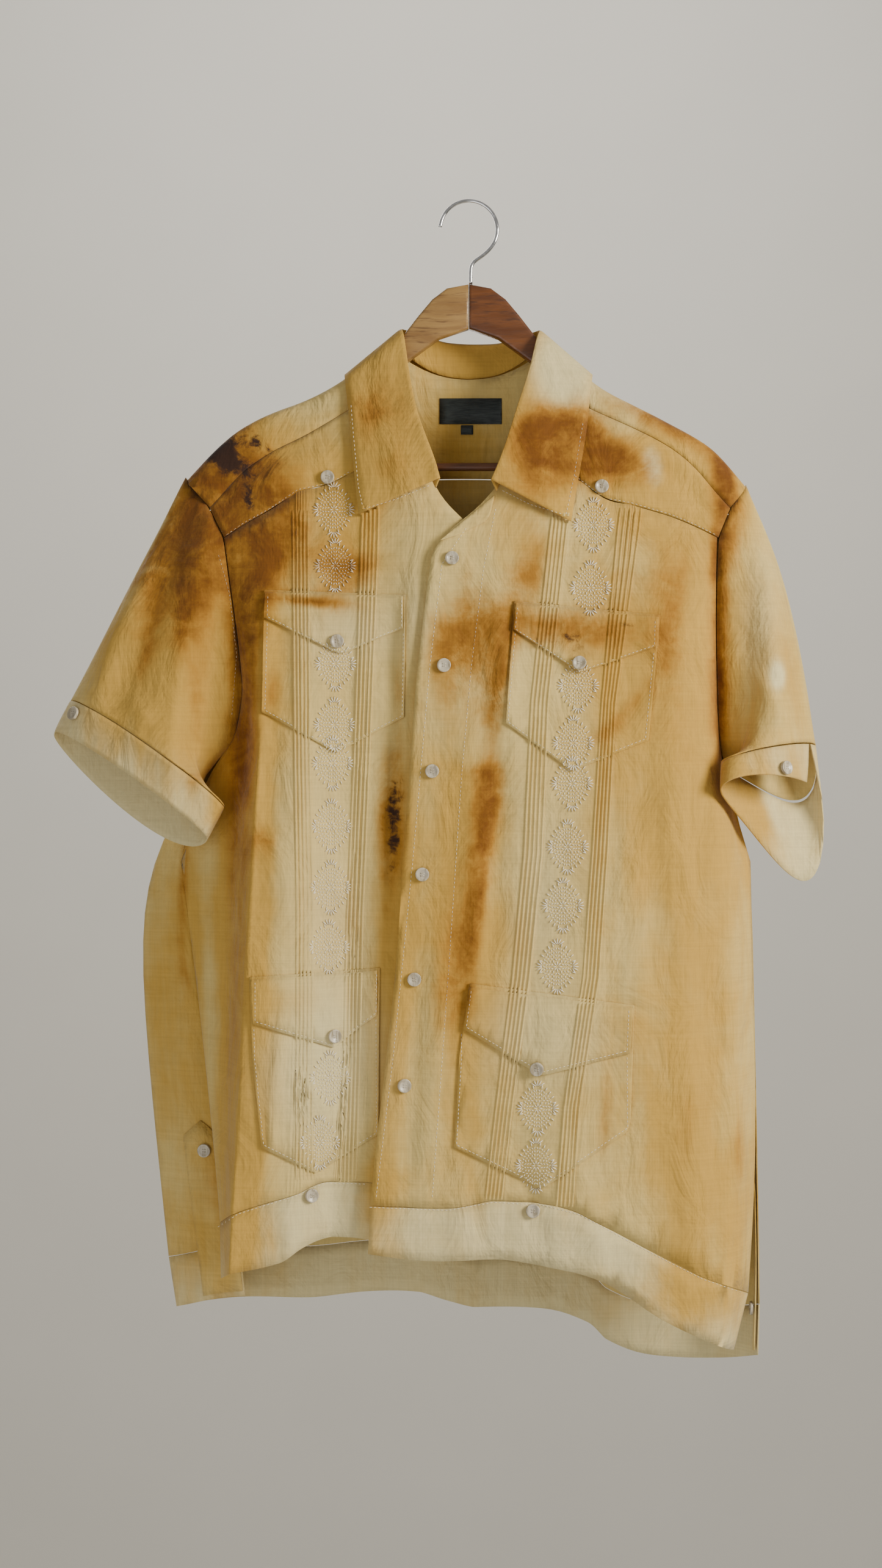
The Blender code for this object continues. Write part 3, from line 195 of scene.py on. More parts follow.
def embroideryThread():
    thread = Finish("embroideryThread", 0.34, Sheen_Weight=0.35, Sheen_Roughness=0.35, Specular_IOR_Level=0.7)
    twist = thread.noise(2600.0, 2.0, 0.5, (1.0, 1.0, 0.4))
    # the thread takes the cloth's rust and gold marks, the painted shade among them
    rustAndShade = (thread.painted("rustAndShade") + (thread.noise(60.0, 4.0) - 0.5) * 0.6).ramp(0.35, 1.1)
    colour = thread.mix(thread.painted("gold").ramp(0.1, 1.0), (0.88, 0.79, 0.58), (0.80, 0.64, 0.38))
    colour = thread.mix(rustAndShade, colour, (0.42, 0.21, 0.05))
    colour = thread.mix(twist.ramp(0.4, 0.7), colour, (0.92, 0.84, 0.64))
    return thread.shade(colour, twist, 0.0002)


def pearlButton():
    pearl = Finish("pearlButton", 0.32, Coat_Weight=0.3, Coat_Roughness=0.15)
    bands = pearl.noise(160.0, 4.0, 0.5, (1.0, 1.0, 0.25), bend=2.0)
    colour = pearl.mix(bands.ramp(0.35, 0.65), (0.34, 0.28, 0.18), (0.56, 0.49, 0.36))
    return pearl.shade(colour, bands, 0.0001, bands.ramp(0.3, 0.7, 0.26, 0.42))


def hangerWood(name, light, dark, line):
    wood = Finish(name, 0.42, Coat_Weight=0.25, Coat_Roughness=0.25)
    along = wood.noise(42.0, 5.0, 0.6, (0.35, 1.0, 1.6), bend=1.2)
    pores = wood.noise(420.0, 3.0, 0.6, (0.10, 1.0, 1.0))
    colour = wood.mix(along.ramp(0.32, 0.68), light, dark)
    colour = wood.mix(pores.ramp(0.54, 0.72) * 0.75, colour, line)
    return wood.shade(colour, pores * 0.6 + along * 0.4, 0.0005, pores.ramp(0.3, 0.7, 0.34, 0.52))


def plainMetal():
    chrome = Finish("hookChrome", 0.12, Metallic=1.0)
    haze = chrome.noise(260.0, 4.0)
    colour = chrome.mix(haze.ramp(0.3, 0.7), (0.62, 0.61, 0.60), (0.80, 0.79, 0.78))
    return chrome.shade(colour, haze, 0.00005, haze.ramp(0.3, 0.8, 0.08, 0.26))


def wovenLabel():
    label = Finish("blackLabel", 0.55, Sheen_Weight=0.3, Sheen_Roughness=0.4)
    ribs = label.noise(1500.0, 2.0, 0.5, (0.08, 0.08, 1.0))
    colour = label.mix(ribs.ramp(0.35, 0.65), (0.010, 0.016, 0.015), (0.030, 0.040, 0.036))
    return label.shade(colour, ribs, 0.0002)


# Button holes: flat dark discs on each button's floor, painted shade standing in for the shadow inside the
# holes
def buttonHoleShade():
    hole = Finish("buttonHoleShade", 0.9)
    return hole.shade(hole.mix(hole.noise(900.0).ramp(0.3, 0.7), (0.06, 0.035, 0.015), (0.13, 0.08, 0.04)))


finishes = {
    "linen": linen("linen"), "linen_collar": linen("collarLinen", "gold"),
    "hem_linen": linen("hemLinen", "pale"), "label": wovenLabel(), "pearl": pearlButton(),
    "chrome": plainMetal(), "thread": embroideryThread(), "hole": buttonHoleShade(),
    "oak": hangerWood("oakWood", (0.36, 0.21, 0.065), (0.24, 0.125, 0.036), (0.12, 0.055, 0.016)),
    "red_wood": hangerWood("redWood", (0.17, 0.055, 0.010), (0.10, 0.030, 0.006), (0.04, 0.012, 0.003)),
}
print("finishes made:", len(finishes))

# Stains and painted shade: kind, x, drop, half width, half height, lean in degrees, strength. Marks noted
# below are painted shade in recesses; the rest are stains
frontStainsAndShade = (
    ("dark", -203.0, 208.0, 26.0, 11.0, 32.0, 1.10), ("dark", -176.0, 196.0, 20.0, 9.0, 30.0, 0.75),
    ("rustAndShade", -190.0, 218.0, 52.0, 30.0, 28.0, 1.00), ("rustAndShade", -178.0, 262.0, 30.0, 26.0, 0.0, 0.95),
    # the second rust mark on this line is painted shade in the recess under the left armhole
    ("dark", -179.0, 243.0, 3.5, 9.0, -15.0, 1.20), ("rustAndShade", -168.0, 292.0, 12.0, 46.0, 0.0, 1.00),
    ("rustAndShade", -226.0, 274.0, 40.0, 50.0, 30.0, 0.85), ("rustAndShade", -250.0, 330.0, 26.0, 60.0, 26.0, 0.35),
    ("rustAndShade", -265.0, 372.0, 5.0, 22.0, 15.0, 0.60), ("rustAndShade", -235.0, 350.0, 5.0, 34.0, 8.0, 0.60),
    ("rustAndShade", -218.0, 470.0, 16.0, 6.0, -30.0, 0.55), ("gold", -230.0, 420.0, 40.0, 60.0, 20.0, 0.45),
    ("gold", -150.0, 210.0, 60.0, 40.0, 0.0, 0.75), ("rustAndShade", -148.0, 275.0, 20.0, 34.0, 0.0, 0.60),
    ("rustAndShade", -108.0, 297.0, 22.0, 17.0, 0.0, 0.85), ("dark", -109.0, 290.0, 8.0, 5.0, 0.0, 0.35),
    ("rustAndShade", -88.0, 300.0, 16.0, 10.0, -40.0, 0.60), ("gold", -95.0, 260.0, 50.0, 50.0, 0.0, 0.65),
    ("rustAndShade", -127.0, 327.0, 34.0, 4.0, 5.0, 0.95), ("rustAndShade", -160.0, 400.0, 7.0, 18.0, 0.0, 0.65),
    ("rustAndShade", -60.0, 392.0, 7.0, 22.0, -8.0, 0.45), ("pale", -100.0, 350.0, 40.0, 30.0, 0.0, 0.45),
    ("dark", -61.0, 498.0, 6.0, 46.0, 2.0, 0.85), ("rustAndShade", -62.0, 500.0, 12.0, 66.0, 2.0, 1.10),
    ("rustAndShade", -166.0, 527.0, 8.0, 12.0, 0.0, 0.85), ("dark", -167.0, 526.0, 3.0, 5.0, 0.0, 0.60),
    # the two marks on this line and the first mark on the next are painted shade down the recess by the left
    # front's side edge
    ("gold", -182.0, 480.0, 16.0, 180.0, 2.0, 0.95), ("rustAndShade", -188.0, 420.0, 10.0, 120.0, 2.0, 0.55),
    ("gold", -188.0, 720.0, 12.0, 120.0, 2.0, 0.85), ("pale", -112.0, 560.0, 34.0, 150.0, 0.0, 0.40),
    ("pale", -120.0, 715.0, 52.0, 70.0, 0.0, 0.55), ("gold", -150.0, 655.0, 40.0, 10.0, 0.0, 0.45),
    ("pale", -40.0, 330.0, 20.0, 50.0, 0.0, 0.35), ("gold", -68.0, 800.0, 20.0, 30.0, 0.0, 0.35),
    ("rustAndShade", -72.0, 176.0, 34.0, 44.0, 0.0, 0.42), ("dark", -88.0, 162.0, 8.0, 5.0, 30.0, 0.55),
    ("dark", -66.0, 206.0, 5.0, 9.0, -30.0, 0.50), ("rustAndShade", -84.0, 168.0, 16.0, 12.0, 20.0, 0.55),
    ("rustAndShade", -64.0, 218.0, 10.0, 12.0, 0.0, 0.45), ("gold", -10.0, 150.0, 50.0, 50.0, 0.0, 0.35),
    ("pale", 78.0, 135.0, 26.0, 34.0, 0.0, 1.10), ("rustAndShade", 82.0, 186.0, 26.0, 17.0, 0.0, 0.95),
    ("rustAndShade", 48.0, 192.0, 14.0, 18.0, 20.0, 0.75), ("rustAndShade", 62.0, 226.0, 30.0, 20.0, 0.0, 0.42),
    ("rustAndShade", 122.0, 216.0, 34.0, 15.0, 10.0, 0.85), ("pale", 150.0, 216.0, 7.0, 14.0, -10.0, 0.90),
    ("rustAndShade", 170.0, 180.0, 38.0, 7.0, 26.0, 0.70), ("rustAndShade", 214.0, 232.0, 6.0, 24.0, -20.0, 0.80),
    ("pale", 140.0, 168.0, 26.0, 8.0, 22.0, 0.55), ("gold", 150.0, 240.0, 70.0, 30.0, 10.0, 0.55),
    ("rustAndShade", 48.0, 303.0, 13.0, 30.0, 14.0, 0.80), ("gold", 40.0, 280.0, 30.0, 40.0, 0.0, 0.60),
    ("rustAndShade", 128.0, 296.0, 26.0, 30.0, 0.0, 0.40), ("rustAndShade", 160.0, 320.0, 16.0, 50.0, 6.0, 0.50),
    ("rustAndShade", 204.0, 300.0, 6.0, 46.0, 0.0, 0.75), ("rustAndShade", 205.0, 410.0, 6.0, 56.0, 0.0, 0.55),
    ("rustAndShade", 92.0, 350.0, 54.0, 16.0, 6.0, 0.95), ("dark", 84.0, 360.0, 24.0, 9.0, 10.0, 0.50),
    ("dark", 130.0, 344.0, 12.0, 5.0, 0.0, 0.50), ("rustAndShade", 132.0, 412.0, 34.0, 7.0, -48.0, 0.65),
    ("rustAndShade", 118.0, 432.0, 20.0, 10.0, -20.0, 0.50), ("gold", 130.0, 400.0, 40.0, 50.0, 0.0, 0.55),
    ("rustAndShade", -12.0, 374.0, 26.0, 46.0, 14.0, 0.66), ("dark", -22.0, 392.0, 8.0, 6.0, 0.0, 0.42),
    ("dark", 2.0, 346.0, 8.0, 12.0, 30.0, 0.35), ("rustAndShade", 25.0, 396.0, 7.0, 40.0, 8.0, 0.72),
    ("rustAndShade", 4.0, 469.0, 30.0, 3.5, 0.0, 1.00), ("rustAndShade", 16.0, 480.0, 10.0, 14.0, 0.0, 0.85),
    ("rustAndShade", 10.0, 545.0, 7.0, 66.0, 6.0, 0.95), ("dark", 7.0, 560.0, 2.5, 34.0, 4.0, 0.42),
    ("rustAndShade", -10.0, 590.0, 12.0, 60.0, 4.0, 0.50), ("gold", -20.0, 560.0, 36.0, 120.0, 0.0, 0.55),
    ("rustAndShade", -24.0, 645.0, 12.0, 34.0, 0.0, 0.45), ("pale", 62.0, 560.0, 30.0, 80.0, 0.0, 0.45),
    ("gold", 178.0, 520.0, 56.0, 220.0, 0.0, 0.75), ("rustAndShade", 176.0, 430.0, 26.0, 50.0, 10.0, 0.38),
    ("rustAndShade", 112.0, 742.0, 6.0, 40.0, 2.0, 0.62), ("rustAndShade", 1.0, 655.0, 8.0, 18.0, 0.0, 0.42),
    ("rustAndShade", 176.0, 776.0, 7.0, 24.0, 10.0, 0.48), ("rustAndShade", 222.0, 775.0, 5.0, 24.0, 0.0, 0.50),
    ("gold", 190.0, 780.0, 50.0, 100.0, 0.0, 0.60), ("pale", 62.0, 690.0, 60.0, 44.0, 0.0, 0.42),
    ("pale", 0.0, 845.0, 90.0, 22.0, 0.0, 0.45), ("gold", 190.0, 900.0, 60.0, 26.0, 20.0, 0.55),
    ("pale", 240.0, 330.0, 20.0, 90.0, 0.0, 0.42), ("pale", 253.0, 388.0, 5.0, 9.0, 0.0, 1.00),
    ("gold", 268.0, 420.0, 10.0, 70.0, -8.0, 0.45), ("rustAndShade", 218.0, 268.0, 10.0, 24.0, 0.0, 0.45),
    ("gold", 250.0, 500.0, 30.0, 30.0, 0.0, 0.45), ("rustAndShade", -225.0, 290.0, 36.0, 56.0, 20.0, 0.75),
    ("gold", -240.0, 370.0, 62.0, 95.0, 25.0, 1.10), ("rustAndShade", -222.0, 400.0, 9.0, 60.0, 4.0, 0.55),
    # the four marks on these two lines are painted shade down the recess between the left front's edge and
    # the back
    ("rustAndShade", -184.0, 330.0, 12.0, 110.0, 0.0, 1.10), ("dark", -192.0, 380.0, 5.0, 90.0, 0.0, 0.45),
    ("rustAndShade", -188.0, 560.0, 11.0, 190.0, 2.0, 0.62), ("gold", -184.0, 600.0, 16.0, 300.0, 0.0, 1.20),
    ("rustAndShade", 72.0, 188.0, 34.0, 22.0, 0.0, 0.90), ("rustAndShade", 66.0, 222.0, 34.0, 18.0, 0.0, 0.60),
    ("rustAndShade", 116.0, 210.0, 26.0, 15.0, 15.0, 0.75), ("rustAndShade", 160.0, 184.0, 55.0, 8.0, 28.0, 0.65),
    ("rustAndShade", 208.0, 238.0, 10.0, 30.0, -10.0, 0.70), ("gold", 180.0, 220.0, 60.0, 40.0, 20.0, 0.60),
    # the second mark on this line is painted shadow in the right armhole
    ("rustAndShade", 168.0, 350.0, 9.0, 60.0, 8.0, 0.45), ("rustAndShade", 206.0, 350.0, 9.0, 110.0, 0.0, 0.75),
    ("rustAndShade", 5.0, 358.0, 24.0, 52.0, 0.0, 0.60), ("rustAndShade", 9.0, 545.0, 8.0, 76.0, 3.0, 0.70),
    ("rustAndShade", 14.0, 492.0, 14.0, 22.0, 0.0, 0.60), ("rustAndShade", -12.0, 645.0, 13.0, 60.0, 6.0, 0.50),
    # the second mark on this line is painted shade in the recess beside the placket
    ("gold", 0.0, 600.0, 24.0, 160.0, 0.0, 0.70), ("gold", -62.0, 640.0, 14.0, 160.0, 4.0, 0.90),
    ("rustAndShade", 178.0, 740.0, 34.0, 30.0, -20.0, 0.25), ("gold", 170.0, 400.0, 50.0, 120.0, 0.0, 0.55),
)
backStainsAndShade = (
    ("rustAndShade", -234.0, 560.0, 4.0, 60.0, 3.0, 0.90), ("rustAndShade", -232.0, 640.0, 4.0, 24.0, 3.0, 0.80),
    # the second mark on this line and the last mark on the next are painted shade on the back's left side, in
    # the recess behind the front's edge
    ("rustAndShade", -236.0, 681.0, 14.0, 4.0, 0.0, 0.55), ("gold", -215.0, 650.0, 46.0, 230.0, 0.0, 0.75),
    ("rustAndShade", -201.0, 790.0, 16.0, 46.0, 0.0, 0.62), ("rustAndShade", -190.0, 600.0, 14.0, 160.0, 0.0, 0.40),
    ("dark", -200.0, 205.0, 26.0, 12.0, 30.0, 0.80), ("rustAndShade", -180.0, 222.0, 56.0, 34.0, 26.0, 0.85),
    ("rustAndShade", 170.0, 190.0, 50.0, 14.0, 24.0, 0.60), ("rustAndShade", -120.0, 330.0, 26.0, 60.0, 8.0, 0.40),
    ("rustAndShade", 60.0, 470.0, 10.0, 90.0, -4.0, 0.62), ("rustAndShade", 20.0, 390.0, 50.0, 5.0, 4.0, 0.55),
    ("gold", 100.0, 560.0, 90.0, 220.0, 0.0, 0.55), ("pale", -60.0, 620.0, 60.0, 120.0, 0.0, 0.45),
    ("gold", -40.0, 200.0, 90.0, 30.0, 0.0, 0.45), ("pale", 0.0, 880.0, 160.0, 20.0, 0.0, 0.40),
    ("rustAndShade", -70.0, 720.0, 8.0, 50.0, 6.0, 0.50), ("rustAndShade", 190.0, 640.0, 10.0, 60.0, 0.0, 0.40),
)
stainAndShadeKinds = ("rustAndShade", "dark", "gold", "pale")
# The front's marks come in between these two distances forward
stainAndShadeReach = {"from": -6.0, "to": 3.0, "softness": 0.75, "most": 1.4}


# lays the stains and the painted shade into each piece's vertex attributes
def paintStainsAndShade(piece):
    points = verticesOf(piece)
    x, drop, forward = seen(points)
    ahead = softStep(stainAndShadeReach["from"], stainAndShadeReach["to"], forward)
    shares = {"front": ahead, "back": 1.0 - ahead}
    amounts = {kind: np.zeros(len(points)) for kind in stainAndShadeKinds}
    for side, stainAndShadeMarks in (("front", frontStainsAndShade), ("back", backStainsAndShade)):
        for kind, markX, markDrop, halfWide, halfHigh, lean, strength in stainAndShadeMarks:
            turn = math.radians(lean)
            across = (x - markX) * math.cos(turn) + (drop - markDrop) * math.sin(turn)
            down = (drop - markDrop) * math.cos(turn) - (x - markX) * math.sin(turn)
            reach = (across / halfWide) ** 2 + (down / halfHigh) ** 2
            amounts[kind] += shares[side] * strength * np.exp(-reach * stainAndShadeReach["softness"])
    for kind, amount in amounts.items():
        layer = piece.data.attributes.new(kind, "FLOAT", "POINT")
        layer.data.foreach_set("value", np.clip(amount, 0.0, stainAndShadeReach["most"]).astype(np.float32))


# Folds: from x, drop to x, drop, half width, height out of the cloth (a trough where negative)
foldField = {"depth": 2.3, "from": 3.0, "to": 14.0, "ends": 0.3}    # depth is times each height
frontFolds = (
    (-150, 300, -176, 600, 14, -2.2), (-84, 280, -88, 620, 9, 1.3), (-60, 330, -64, 580, 8, -2.6),
    (-138, 470, -150, 640, 15, 1.8), (-42, 300, -58, 430, 8, 1.6), (-162, 452, -62, 468, 9, 0.7),
    (-205, 440, -150, 560, 13, 1.7), (-196, 560, -190, 820, 9, -1.6), (-160, 700, -96, 766, 9, 1.2),
    (-98, 640, -80, 770, 8, -1.2), (-150, 650, -168, 800, 8, 1.2), (-120, 560, -112, 640, 12, -0.9),
    (20, 296, 36, 470, 12, 1.8), (0, 430, 12, 650, 15, 1.9), (27, 470, 14, 650, 8, -1.7),
    (-20, 560, -32, 800, 11, 1.5), (-40, 620, -52, 830, 8, -1.2), (160, 296, 176, 620, 22, 2.1),
    (188, 420, 206, 820, 17, -2.2), (150, 480, 158, 660, 11, -1.2), (174, 640, 190, 880, 15, 2.2),
    (130, 560, 150, 770, 13, 1.1), (205, 438, 118, 570, 13, 1.6), (206, 470, 190, 640, 10, 1.4),
    (40, 770, 62, 860, 10, -1.4), (-10, 800, -4, 866, 10, 1.4), (96, 800, 110, 880, 10, 1.5),
    (-84, 800, -96, 860, 8, -1.3), (-150, 820, -142, 880, 9, 1.4), (16, 690, 110, 720, 10, 0.8),
    (100, 188, 196, 222, 11, 1.1), (-100, 200, -190, 236, 11, 1.2), (150, 205, 205, 262, 8, -1.0),
    (-82, 176, -44, 238, 9, 1.1), (60, 196, 86, 252, 9, -0.9), (52, 150, 60, 230, 8, 0.9),
    (-214, 252, -252, 470, 13, 2.4), (-238, 262, -292, 436, 14, -2.6), (-264, 300, -316, 424, 11, 2.0),
    (-204, 330, -214, 452, 9, -2.0), (-232, 380, -246, 500, 8, 1.5), (-290, 390, -250, 440, 9, 0.9),
    (224, 262, 232, 470, 9, -1.2), (244, 272, 262, 486, 11, 1.8), (262, 330, 280, 474, 8, -1.8),
    (232, 380, 262, 430, 8, 0.9),
)
backFolds = (
    (-150, 260, -176, 620, 16, -2.2), (-70, 260, -80, 640, 18, 1.8), (20, 250, 4, 700, 20, -1.8),
    (90, 260, 110, 620, 16, 1.9), (160, 280, 180, 640, 18, -2.0), (-205, 440, -110, 600, 14, 1.6),
    (208, 440, 120, 600, 14, 1.6), (-226, 520, -232, 860, 10, -1.5), (-120, 600, -130, 880, 14, 1.8),
    (-20, 640, -36, 890, 14, -1.6), (60, 620, 74, 900, 14, 1.9), (150, 660, 166, 920, 14, -1.8),
    (210, 560, 216, 900, 10, 1.6), (-120, 180, 0, 205, 12, 1.0), (120, 180, 0, 205, 12, 1.0),
    (-230, 262, -280, 430, 13, 2.2), (-262, 300, -300, 420, 10, -2.0), (230, 262, 246, 470, 10, 2.0),
)



def foldHeight(x, drop, folds):
    total = np.zeros(len(x))
    for startX, startDrop, endX, endDrop, halfWide, height in folds:
        wayX, wayDrop = endX - startX, endDrop - startDrop
        along = ((x - startX) * wayX + (drop - startDrop) * wayDrop) / (wayX ** 2 + wayDrop ** 2)
        held = np.clip(along, 0.0, 1.0)
        near = (x - startX - held * wayX) ** 2 + (drop - startDrop - held * wayDrop) ** 2
        swell = foldField["ends"] + (1.0 - foldField["ends"]) * np.sin(np.pi * held)
        total += foldField["depth"] * height * np.exp(-near / halfWide ** 2) * swell
    return total


def drape(points):    # the same folds move every layer there, so pockets stay on their panels
    x, drop, forward = seen(points)
    out = softStep(foldField["from"], foldField["to"], forward) * foldHeight(x, drop, frontFolds)
    out -= softStep(foldField["from"], foldField["to"], -forward) * foldHeight(x, drop, backFolds)
    moved = points.copy()
    moved[:, 1] -= out * mm
    return moved


def verticesOf(piece):
    flat = np.zeros(len(piece.data.vertices) * 3)
    piece.data.vertices.foreach_get("co", flat)
    return flat.reshape(-1, 3)


# Angles in radians; a pocket's own shallow tucks are smoothed out, since separate ribs stand for them
rounding = {"weld": 0.000005, "flat": 0.25, "hair": 1e-9}
pocketCalm = {"rounds": 12, "factor": 0.5, "edge": 0.9}


def weldedMesh(node):
    bm = bmesh.new()
    bm.from_mesh(nodes[node].data)
    bmesh.ops.remove_doubles(bm, verts=bm.verts[:], dist=rounding["weld"])
    return bm


def isDiagonal(edge):    # the longest side of both triangles beside it, which lie flat
    if len(edge.link_faces) != 2 or edge.calc_face_angle() >= rounding["flat"]:
        return False
    return all(len(face.edges) == 3
               and edge.calc_length() >= max(side.calc_length() for side in face.edges) - rounding["hair"]
               for face in edge.link_faces)


def calmPocket(bm):
    inside = [vertex for vertex in bm.verts if all(
        len(edge.link_faces) == 2 and edge.calc_face_angle() < pocketCalm["edge"]
        for edge in vertex.link_edges)]
    for turn in range(pocketCalm["rounds"]):
        bmesh.ops.smooth_vert(bm, verts=inside, factor=pocketCalm["factor"], use_axis_x=True,
                              use_axis_y=True, use_axis_z=True)


def softCopy(node, levels, hardAngle=55.0):
    # a node's own form, its triangles paired into quads and rounded
    bm = weldedMesh(node)
    bmesh.ops.dissolve_edges(bm, edges=[edge for edge in bm.edges if isDiagonal(edge)], use_verts=False)
    if node.startswith("pocket_") and "band" not in node:
        calmPocket(bm)
    hard = bm.edges.layers.float.new("crease_edge")
    for edge in bm.edges:
        if len(edge.link_faces) == 2 and edge.calc_face_angle() > math.radians(hardAngle):
            edge[hard] = 1.0
    mesh = bpy.data.meshes.new(node + "_soft")
    bm.to_mesh(mesh)
    bm.free()
    piece = link(bpy.data.objects.new(node + "_soft", mesh))
    smoother = piece.modifiers.new("rounding", "SUBSURF")
    smoother.levels = smoother.render_levels = levels
    smoother.use_limit_surface = False
    shape = piece.evaluated_get(bpy.context.evaluated_depsgraph_get())
    rounded = bpy.data.meshes.new_from_object(shape)
    piece.modifiers.clear()
    piece.data = rounded
    return piece


def dress(piece, node, finish):
    piece.data.materials.clear()
    piece.data.materials.append(finishes[finish])
    for face in piece.data.polygons:
        face.use_smooth = True
    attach(piece, "root")
    if node:
        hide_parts(node)
    return piece


# Cloth: node, finish, rounds of rounding, cut width and length (m), share of that rectangle that
# the cut keeps, and what it hangs from
clothCuts = {
    "back_panel": ("linen", 2, 0.54, 0.72, 0.9, "back_yoke"),
    "back_yoke": ("linen", 2, 0.50, 0.125, 0.8, "hanger_arm_left"),
    "front_overlap": ("linen", 2, 0.33, 0.66, 0.8, "front_yoke_right"),
    "front_underlap": ("linen", 2, 0.26, 0.62, 0.8, "front_yoke_left"),
    "front_yoke_left": ("linen", 2, 0.17, 0.09, 0.5, "back_yoke"),
    "front_yoke_right": ("linen", 2, 0.19, 0.10, 0.5, "back_yoke"),
    "collar": ("linen_collar", 2, 0.45, 0.09, 0.85, "back_yoke"),
    "sleeve_left": ("linen", 2, 0.29, 0.175, 0.78, "back_yoke"),
    "sleeve_right": ("linen", 2, 0.26, 0.155, 0.78, "back_yoke"),
    "cuff_left": ("hem_linen", 2, 0.34, 0.036, 0.9, "sleeve_left"),
    "cuff_right": ("hem_linen", 2, 0.31, 0.034, 0.9, "sleeve_right"),
    "hem_band_back_panel": ("hem_linen", 2, 0.53, 0.055, 0.9, "back_panel"),
    "hem_band_front_overlap": ("hem_linen", 2, 0.34, 0.05, 0.9, "front_overlap"),
    "hem_band_front_underlap": ("hem_linen", 2, 0.21, 0.05, 0.9, "front_underlap"),
    "pocket_chest_left": ("linen", 2, 0.12, 0.13, 0.87, "front_underlap"),
    "pocket_chest_right": ("linen", 2, 0.12, 0.13, 0.88, "front_overlap"),
    "pocket_lower_left": ("linen", 2, 0.11, 0.16, 0.89, "front_underlap"),
    "pocket_lower_right": ("linen", 2, 0.14, 0.15, 0.9, "front_overlap"),
    "pocket_band_chest_left": ("linen", 2, 0.115, 0.045, 0.8, "pocket_chest_left"),
    "pocket_band_chest_right": ("linen", 2, 0.12, 0.046, 0.8, "pocket_chest_right"),
    "pocket_band_lower_left": ("linen", 2, 0.105, 0.06, 0.8, "pocket_lower_left"),
    "pocket_band_lower_right": ("linen", 2, 0.135, 0.061, 0.8, "pocket_lower_right"),
    "lapel_facing": ("linen", 2, 0.045, 0.025, 0.45, "front_overlap"),
    "vent_tab_left": ("linen", 2, 0.036, 0.15, 0.9, "back_panel"),
    "vent_tab_right": ("linen", 2, 0.0125, 0.15, 0.9, "back_panel"),
    "label": ("label", 1, 0.055, 0.0215, 1.0, "back_yoke"),
    "size_tab": ("label", 1, 0.0101, 0.0101, 0.76, "back_yoke"),
}


def sewCloth():
    cloth = {}
    for node, (finish, levels, wide, long, kept, rests) in clothCuts.items():
        piece = softCopy(node, levels)
        moved = drape(verticesOf(piece))
        piece.data.vertices.foreach_set("co", moved.ravel())
        paintStainsAndShade(piece)
        dress(piece, node, finish)
        cloth[node] = piece
        layer = sum(face.area for face in piece.data.polygons) / 2
        print("  ", node, len(piece.data.polygons), "faces, one layer", round(layer, 5), "m2")
    return cloth


def surfaceOf(pieces):    # one tree to cast on, of every outer layer the camera sees
    whole = bmesh.new()
    for piece in pieces:
        whole.from_mesh(piece.data)
    tree = BVHTree.FromBMesh(whole)
    whole.free()
    return tree


def onCloth(tree, x, drop):
    spot, normal = tree.ray_cast(eye, Vector((x * mm, 0.0, -drop * mm)) - eye)[:2]
    return spot, normal


def threadPiece(name, bm, finish="thread"):
    mesh = bpy.data.meshes.new(name)
    bm.to_mesh(mesh)
    bm.free()
    piece = link(bpy.data.objects.new(name, mesh))
    paintStainsAndShade(piece)
    return dress(piece, None, finish)


def addStitch(bm, tree, x, drop, angle, long, wide, high, sunk=0.15):
    # one satin or running stitch: a rounded sliver lying on the cloth
    spot, normal = onCloth(tree, x, drop)
    if spot is None:
        return
    way = Vector((math.cos(angle), 0.0, -math.sin(angle)))
    way = (way - normal * way.dot(normal)).normalized()
    side = normal.cross(way)
    size = Matrix.Diagonal((long / 2 * mm, wide / 2 * mm, high / 2 * mm, 1.0))
    turn = Matrix((way, side, normal)).transposed().to_4x4()
    place = Matrix.Translation(spot + normal * (high / 2 - sunk) * mm) @ turn @ size
    bmesh.ops.create_icosphere(bm, subdivisions=1, radius=1.0, matrix=place)


# Tucks: groups of five narrow stitched folds, given by a drop and the group's edges there (mm)
tuckFold = {"count": 5, "width": 2.3, "rise": 1.15, "sunk": 0.12, "lean": 0.16, "round": 0.8, "step": 3.0,
            "across": 5, "ends": 4.0, "layerStep": 3.5}
tuckGroups = {
    "left_outer": ((252.0, -146.0, -130.0), (276.0, -145.5, -130.5), (459.0, -144.0, -129.0),
                   (584.0, -142.5, -126.5), (716.0, -143.0, -127.0), (800.0, -143.0, -127.0)),
    "left_inner": ((248.0, -88.5, -72.5), (276.0, -89.5, -73.0), (459.0, -95.5, -80.5),
                   (584.0, -101.5, -85.5), (700.0, -104.0, -88.0), (802.0, -107.0, -91.0)),
    "right_inner": ((254.0, 67.0, 83.0), (269.0, 65.0, 81.0), (409.0, 49.5, 66.0), (534.0, 43.5, 61.0),
                    (634.0, 34.0, 51.0), (741.0, 20.5, 36.5), (816.0, 12.0, 28.0)),
    "right_outer": ((250.0, 122.0, 143.0), (269.0, 119.5, 141.0), (409.0, 107.5, 121.0), (534.0, 99.5, 114.5),
                    (634.0, 92.0, 107.5), (741.0, 76.5, 91.5), (822.0, 70.0, 86.0)),
}


def tuckRing(tree, middle, drop, ease):    # points across one tuck, from its seam over its crest
    ring = []
    for j in range(tuckFold["across"]):
        t = j / (tuckFold["across"] - 1)
        across = (t - 0.5 + tuckFold["lean"] * math.sin(math.pi * t)) * tuckFold["width"]
        spot, normal = onCloth(tree, middle + across, drop)
        if spot is None:
            return None
        lift = tuckFold["rise"] * math.sin(math.pi * t) ** tuckFold["round"] * ease - tuckFold["sunk"]
        ring.append(spot + normal * lift * mm)
    return ring


